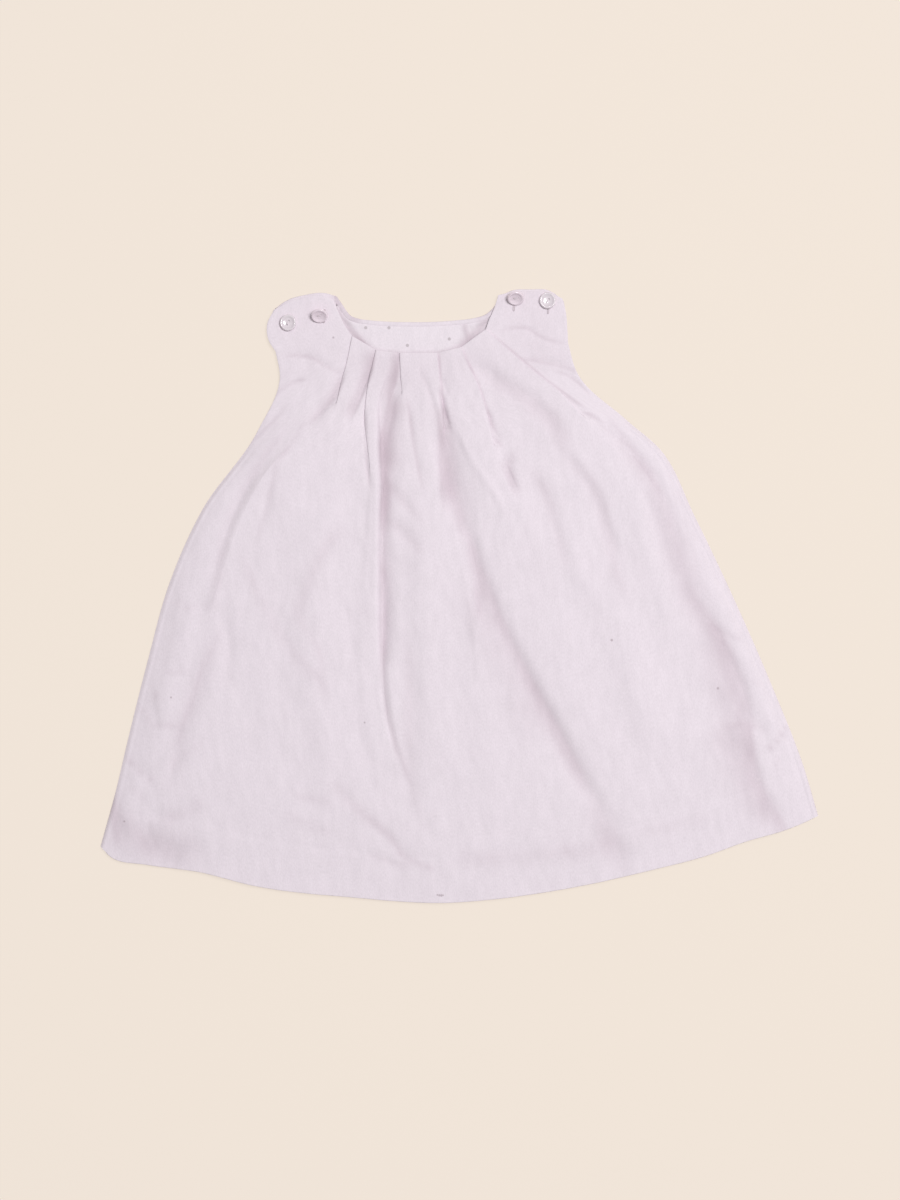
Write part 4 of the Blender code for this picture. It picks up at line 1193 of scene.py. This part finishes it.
def button(name, centre, tilt, turn, look):
    """A dished button with two thread holes."""
    mesh = bmesh.new()
    points = [mesh.verts.new(Vector((x, 0, z)) * MM) for x, z in BUTTON_PROFILE]
    edges = [mesh.edges.new(pair) for pair in zip(points, points[1:])]
    bmesh.ops.spin(mesh, geom=points + edges, cent=(0, 0, 0), axis=(0, 0, 1),
                   angle=2 * math.pi, steps=BUTTON_SIDES, use_merge=True)
    bmesh.ops.remove_doubles(mesh, verts=mesh.verts, dist=WELD * MM)
    bmesh.ops.recalc_face_normals(mesh, faces=mesh.faces)
    disc = place_mesh(f"{name}_disc", mesh, look)
    angle = math.radians(turn)
    line = Vector((math.cos(angle), math.sin(angle), 0))
    drills = []
    for side in (-1, 1):
        drill = bmesh.new()
        bmesh.ops.create_cone(drill, cap_ends=True, segments=HOLE_SIDES, radius1=HOLE_RADIUS * MM,
                              radius2=HOLE_RADIUS * MM, depth=3 * BUTTON_THICK * MM)
        bmesh.ops.translate(drill, verts=drill.verts, vec=line * side * HOLE_OFFSET * MM)
        drills.append(place_mesh("drill", drill, look))
        cut = disc.modifiers.new("thread hole", "BOOLEAN")
        cut.operation = "DIFFERENCE"
        cut.object = drills[-1]
    bpy.context.view_layer.update()
    seen = disc.evaluated_get(bpy.context.evaluated_depsgraph_get())
    drilled = bpy.data.meshes.new_from_object(seen)
    disc.modifiers.clear()
    disc.data = drilled
    for drill in drills:
        bpy.data.objects.remove(drill, do_unlink=True)
    disc.data.transform(button_matrix(centre, tilt))
    disc.data.set_sharp_from_angle(angle=math.radians(BUTTON_SHARP))
    return disc


def button_thread(name, centre, tilt, turn, look):
    """The thread that crosses the dish from hole to hole."""
    mesh = bmesh.new()
    for spread in THREAD_SPREAD:
        ring = bmesh.ops.create_circle(mesh, cap_ends=True, segments=THREAD_SIDES,
                                       radius=THREAD_RADIUS * MM)["verts"]
        bmesh.ops.translate(mesh, verts=ring, vec=(HOLE_OFFSET * MM, spread * MM, 0))
        edges = list(dict.fromkeys(edge for vertex in ring for edge in vertex.link_edges))
        end = ring[0].link_faces[:]
        bmesh.ops.spin(mesh, geom=ring + edges + end, cent=(0, 0, 0), axis=(0, -1, 0),
                       angle=math.pi, steps=THREAD_STEPS)
    bmesh.ops.recalc_face_normals(mesh, faces=mesh.faces)
    squeeze = Matrix.Diagonal((1, 1, THREAD_ARCH / HOLE_OFFSET, 1))
    turned = Matrix.Rotation(math.radians(turn), 4, "Z")
    lie = Matrix.Translation((0, 0, THREAD_BASE * MM)) @ turned @ squeeze
    bmesh.ops.transform(mesh, matrix=button_matrix(centre, tilt) @ lie, verts=mesh.verts)
    return place_mesh(f"{name}_thread", mesh, look)


def buttonhole(name, foot, length, lean, look):
    """A worked buttonhole: a low stadium of stitches round a sunk slit."""
    half = BUTTONHOLE_HALF_WIDTH
    long = length / 2 - half
    mesh = bmesh.new()
    ring = bmesh.ops.create_circle(mesh, cap_ends=True, segments=BUTTONHOLE_SIDES,
                                   radius=half * MM)
    for vertex in ring["verts"]:
        # a corner on the middle line, where rounding may leave either sign, goes to the upper end
        vertex.co.y += math.copysign(long * MM, vertex.co.y + 1e-9)
    up = bmesh.ops.extrude_face_region(mesh, geom=mesh.faces[:])
    raised = {item for item in up["geom"] if isinstance(item, bmesh.types.BMVert)}
    bmesh.ops.translate(mesh, verts=list(raised), vec=(0, 0, BUTTONHOLE_HEIGHT * MM))
    top = [face for face in mesh.faces if raised.issuperset(face.verts)]
    to_slit = half - SLIT_HALF_WIDTH - sum(inset for inset, _ in BUTTONHOLE_ROUND)
    for inset, rise in (*BUTTONHOLE_ROUND, (to_slit, SLIT_FALL), SLIT_WALL):
        bmesh.ops.inset_region(mesh, faces=top, thickness=inset * MM, depth=rise * MM)
    bmesh.ops.recalc_face_normals(mesh, faces=mesh.faces)
    level = FRONT_LEVEL + WALL / 2 - BUTTONHOLE_SINK
    middle = Vector((foot[0], foot[1] + length / 2, level)) * MM
    turn = Matrix.Rotation(math.radians(-lean), 4, "Z")
    bmesh.ops.transform(mesh, matrix=Matrix.Translation(middle) @ turn, verts=mesh.verts)
    return place_mesh(name, mesh, look)


class Finish:
    """A new material and short calls that add and join its nodes."""

    def __init__(self, name, colour, roughness):
        self.material = bpy.data.materials.new(name)
        self.material.use_nodes = True
        self.tree = self.material.node_tree
        self.shader = self.tree.nodes["Principled BSDF"]
        self.shader.inputs["Base Color"].default_value = (*colour, 1)
        self.shader.inputs["Roughness"].default_value = roughness
        self.shader.inputs["Metallic"].default_value = 0.0

    def add(self, kind, **values):
        """A new node with these settings."""
        node = self.tree.nodes.new(kind)
        for key, value in values.items():
            setattr(node, key, value)
        return node

    def join(self, source, target):
        self.tree.links.new(source, target)

    def set_colour(self, source):
        self.join(source, self.shader.inputs["Base Color"])

    def cloth_place(self):
        return self.add("ShaderNodeAttribute", attribute_name="cloth_place").outputs["Vector"]

    def object_place(self):
        return self.add("ShaderNodeTexCoord").outputs["Object"]

    def flat_place(self):
        """Object coordinates without their height."""
        return self.scaled(self.object_place(), (1, 1, 0))

    def scaled(self, place, scale):
        """A place whose axes are stretched by the scale."""
        stretch = self.add("ShaderNodeMapping")
        stretch.inputs["Scale"].default_value = scale
        self.join(place, stretch.inputs["Vector"])
        return stretch.outputs["Vector"]

    def noise(self, place, scale, detail=2.0, rough=0.5):
        """Noise between 0 and 1 with its own scale along each axis, in features per metre."""
        texture = self.add("ShaderNodeTexNoise")
        texture.inputs["Scale"].default_value = 1.0
        texture.inputs["Detail"].default_value = detail
        texture.inputs["Roughness"].default_value = rough
        self.join(self.scaled(place, scale), texture.inputs["Vector"])
        return texture.outputs["Fac"]

    def math(self, operation, first, second):
        """A sum of two values; each is a number or another node's output."""
        node = self.add("ShaderNodeMath", operation=operation)
        for socket, value in zip(node.inputs, (first, second)):
            if isinstance(value, float):
                socket.default_value = value
            else:
                self.join(value, socket)
        return node.outputs["Value"]

    def between(self, value, low, high, kind="LINEAR"):
        """0 where the value is low and 1 where it is high."""
        node = self.add("ShaderNodeMapRange", interpolation_type=kind)
        node.inputs["From Min"].default_value = low
        node.inputs["From Max"].default_value = high
        self.join(value, node.inputs["Value"])
        return node.outputs["Result"]

    def spots(self, place, centres, soft):
        """1 inside round spots and 0 outside them; each is a place and a radius."""
        most = None
        for x, y, radius in centres:
            away = self.add("ShaderNodeVectorMath", operation="DISTANCE")
            away.inputs[1].default_value = (x * MM, y * MM, 0)
            self.join(place, away.inputs[0])
            inside = self.between(away.outputs["Value"], (radius + soft) * MM,
                                  (radius - soft) * MM, "SMOOTHSTEP")
            most = inside if most is None else self.math("MAXIMUM", most, inside)
        return most

    def mix(self, share, first, second):
        """Colours mixed by a share; each is a colour or another node's output."""
        node = self.add("ShaderNodeMix", data_type="RGBA")
        share_socket, first_socket, second_socket = node.inputs[0], node.inputs[6], node.inputs[7]
        self.join(share, share_socket)
        for socket, value in ((first_socket, first), (second_socket, second)):
            if isinstance(value, tuple):
                socket.default_value = (*value, 1)
            else:
                self.join(value, socket)
        return node.outputs[2]

    def darkened(self, share, colour, tint):
        """A colour that is multiplied by a tint as far as the share says."""
        node = self.add("ShaderNodeMix", data_type="RGBA", blend_type="MULTIPLY")
        self.join(share, node.inputs[0])
        self.join(colour, node.inputs[6])
        node.inputs[7].default_value = (*tint, 1)
        return node.outputs[2]

    def bump(self, height, distance, strength):
        """Fine relief from a height between 0 and 1, as high as the distance in millimetres."""
        node = self.add("ShaderNodeBump")
        node.inputs["Strength"].default_value = strength
        node.inputs["Distance"].default_value = distance * MM
        self.join(height, node.inputs["Height"])
        self.join(node.outputs["Normal"], self.shader.inputs["Normal"])


def shaded(colour, level):
    """The colour, brighter above a level of 1 and darker below it."""
    return tuple(channel * level for channel in colour)


def weave(finish, base, marks, mark_colour):
    """Gives cloth its uneven threads and faint mottling, painted shade in its folds, and marks
    where their share is 1.
    """
    place = finish.cloth_place()
    slub = finish.noise(place, SLUBS, detail=3.0, rough=0.6)
    mottle = finish.noise(place, MOTTLE, detail=3.0)
    slub_part = finish.math("MULTIPLY", slub, SLUB_SHARE)
    mottle_part = finish.math("MULTIPLY", mottle, MOTTLE_SHARE)
    share = finish.between(finish.math("ADD", slub_part, mottle_part), *CLOTH_CONTRAST)
    colour = finish.mix(share, *(shaded(base, level) for level in CLOTH_LEVELS))
    # Painted shade: the fold_shade attribute darkens the colour and makes it pinker in folds and
    # under edges
    painted_fold_shade = finish.add("ShaderNodeAttribute", attribute_name="fold_shade").outputs["Fac"]
    colour = finish.darkened(painted_fold_shade, colour, FOLD_SHADE_TINT)
    finish.set_colour(finish.mix(marks, colour, mark_colour))
    warp = finish.noise(place, WARP, detail=1.0)
    threads = finish.math("ADD", warp, finish.noise(place, WEFT, detail=1.0))
    relief = finish.math("ADD", threads, finish.math("MULTIPLY", slub, SLUB_RELIEF))
    finish.bump(relief, distance=0.09, strength=0.35)
    finish.shader.inputs["Specular IOR Level"].default_value = 0.2
    finish.shader.inputs["Sheen Weight"].default_value = 0.12
    finish.shader.inputs["Sheen Roughness"].default_value = 0.5


def lilac_cotton():
    """The cloth of the dress, with a few dark specks caught in it."""
    finish = Finish("pale lilac cotton", LILAC, roughness=0.92)
    specks = finish.spots(finish.flat_place(), SPECKS, SPECK_SOFT)
    weave(finish, LILAC, finish.math("MULTIPLY", specks, SPECK_STRENGTH), SPECK_BROWN)
    return finish.material


def dotted_cotton():
    """The facing's finer cloth, with its print of small dots."""
    finish = Finish("dotted facing cotton", FACING_LILAC, roughness=0.9)
    dots = finish.spots(finish.flat_place(), [(x, y, DOT_RADIUS) for x, y in DOTS], DOT_SOFT)
    weave(finish, FACING_LILAC, finish.math("MULTIPLY", dots, DOT_STRENGTH), DOT_GREY)
    return finish.material


def pearl():
    """The buttons' clouded shell, with painted light that makes it lighter and pinker on the two
    tilted buttons.
    """
    finish = Finish("pearly button", PEARL, roughness=0.16)
    place = finish.object_place()
    cloud = finish.noise(place, PEARL_CLOUD, rough=0.6)
    shell = finish.mix(cloud, PEARL_DARK, PEARL_LIGHT)
    # Painted light on the two tilted buttons, lighter and pinker than their shell
    tilted = [(*centre, PAINTED_LIGHT_REACH) for _, centre, tilt, _ in BUTTONS if tilt]
    painted_light = finish.spots(finish.flat_place(), tilted, PAINTED_LIGHT_SOFT)
    finish.set_colour(finish.mix(painted_light, shell, TILTED_BUTTON_PAINTED_LIGHT))
    finish.shader.inputs["Coat Weight"].default_value = 0.5
    finish.shader.inputs["Coat Roughness"].default_value = 0.06
    finish.bump(finish.noise(place, PEARL_GRAIN), distance=0.02, strength=0.3)
    return finish.material


def cotton_thread(name, base, twist):
    """Fine ridges across the thread's run, painted shade between them and a soft, slightly fuzzy
    look.
    """
    finish = Finish(name, base, roughness=0.8)
    strands = finish.noise(finish.object_place(), twist, detail=1.0)
    finish.set_colour(finish.mix(strands, shaded(base, THREAD_GROOVE_SHADE), base))
    finish.shader.inputs["Sheen Weight"].default_value = 0.15
    finish.bump(strands, distance=0.08, strength=0.6)
    return finish.material


def pale_floor():
    """A floor that glows evenly, so that shadows on it stay faint."""
    finish = Finish("warm pale floor", FLOOR_CREAM, roughness=0.9)
    grain = finish.noise(finish.object_place(), FLOOR_GRAIN)
    finish.set_colour(finish.mix(grain, FLOOR_DARK, FLOOR_LIGHT))
    finish.shader.inputs["Specular IOR Level"].default_value = 0.0
    finish.shader.inputs["Emission Color"].default_value = (*FLOOR_GLOW, 1)
    finish.shader.inputs["Emission Strength"].default_value = FLOOR_GLOW_STRENGTH
    return finish.material


def set_the_stage():
    """Floor, light and camera."""
    mesh = bmesh.new()
    bmesh.ops.create_grid(mesh, x_segments=1, y_segments=1, size=FLOOR_SIZE / 2 * MM)
    bmesh.ops.translate(mesh, verts=mesh.verts, vec=(0, 0, -FLOOR_DROP * MM))
    place_mesh("floor", mesh, pale_floor())

    world = bpy.data.worlds.new("soft room")
    world.use_nodes = True
    sky = world.node_tree.nodes["Background"]
    sky.inputs["Color"].default_value = (*WHITE, 1)
    sky.inputs["Strength"].default_value = SKY_STRENGTH
    bpy.context.scene.world = world

    lamp = bpy.data.lights.new("overhead panel", "AREA")
    lamp.shape = "SQUARE"
    lamp.size = LAMP_SIZE
    lamp.energy = LAMP_POWER
    panel = bpy.data.objects.new("overhead panel", lamp)
    panel.location = LAMP_PLACE
    panel.rotation_euler = (-panel.location).to_track_quat("-Z", "Y").to_euler()
    bpy.context.scene.collection.objects.link(panel)

    view = bpy.data.cameras.new("camera")
    view.sensor_width = SENSOR
    view.lens = SENSOR * CAMERA_HEIGHT / VIEW_LONG_SIDE
    camera = bpy.data.objects.new("camera", view)
    camera.location = Vector((*VIEW_CENTRE, CAMERA_HEIGHT)) * MM
    bpy.context.scene.collection.objects.link(camera)
    bpy.context.scene.camera = camera
    bpy.context.scene.view_settings.view_transform = "Standard"


def belongs(piece, slot, *nodes):
    """The piece rides on the dress and stands for these solids; the slot argument is not used."""
    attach(piece, "root")
    if nodes:
        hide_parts(*nodes)


def main():
    """The stage, then the cloth from the front to the facing, then the small pieces."""
    set_the_stage()
    cotton = lilac_cotton()
    front_piece, front_grids = front(cotton)
    belongs(front_piece, "cloth", "front_panel", "front_strap_left", "front_strap_right")
    back_piece, back_grids = back(front_grids[0][0], cotton)
    belongs(back_piece, "cloth", "back_panel", "back_strap_left", "back_strap_right")
    facing_piece, facing_grids = facing(dotted_cotton())
    belongs(facing_piece, "facing", "back_neck_facing")

    shell = pearl()
    sewing = cotton_thread("button thread", THREAD_LILAC, THREAD_TWIST)
    for name, centre, tilt, turn in BUTTONS:
        belongs(button(name, centre, tilt, turn, shell), "button", name)
        belongs(button_thread(name, centre, tilt, turn, sewing), "cloth")
    # The buttonholes' dark mauve is partly their stitching and partly painted shade of the open
    # slit
    stitching_and_slit_shade = cotton_thread("buttonhole stitching and slit shade", STITCH_AND_SLIT_SHADE_MAUVE, STITCHES)
    for name, foot, length, lean in BUTTONHOLES:
        belongs(buttonhole(name, foot, length, lean, stitching_and_slit_shade), "cloth")


main()
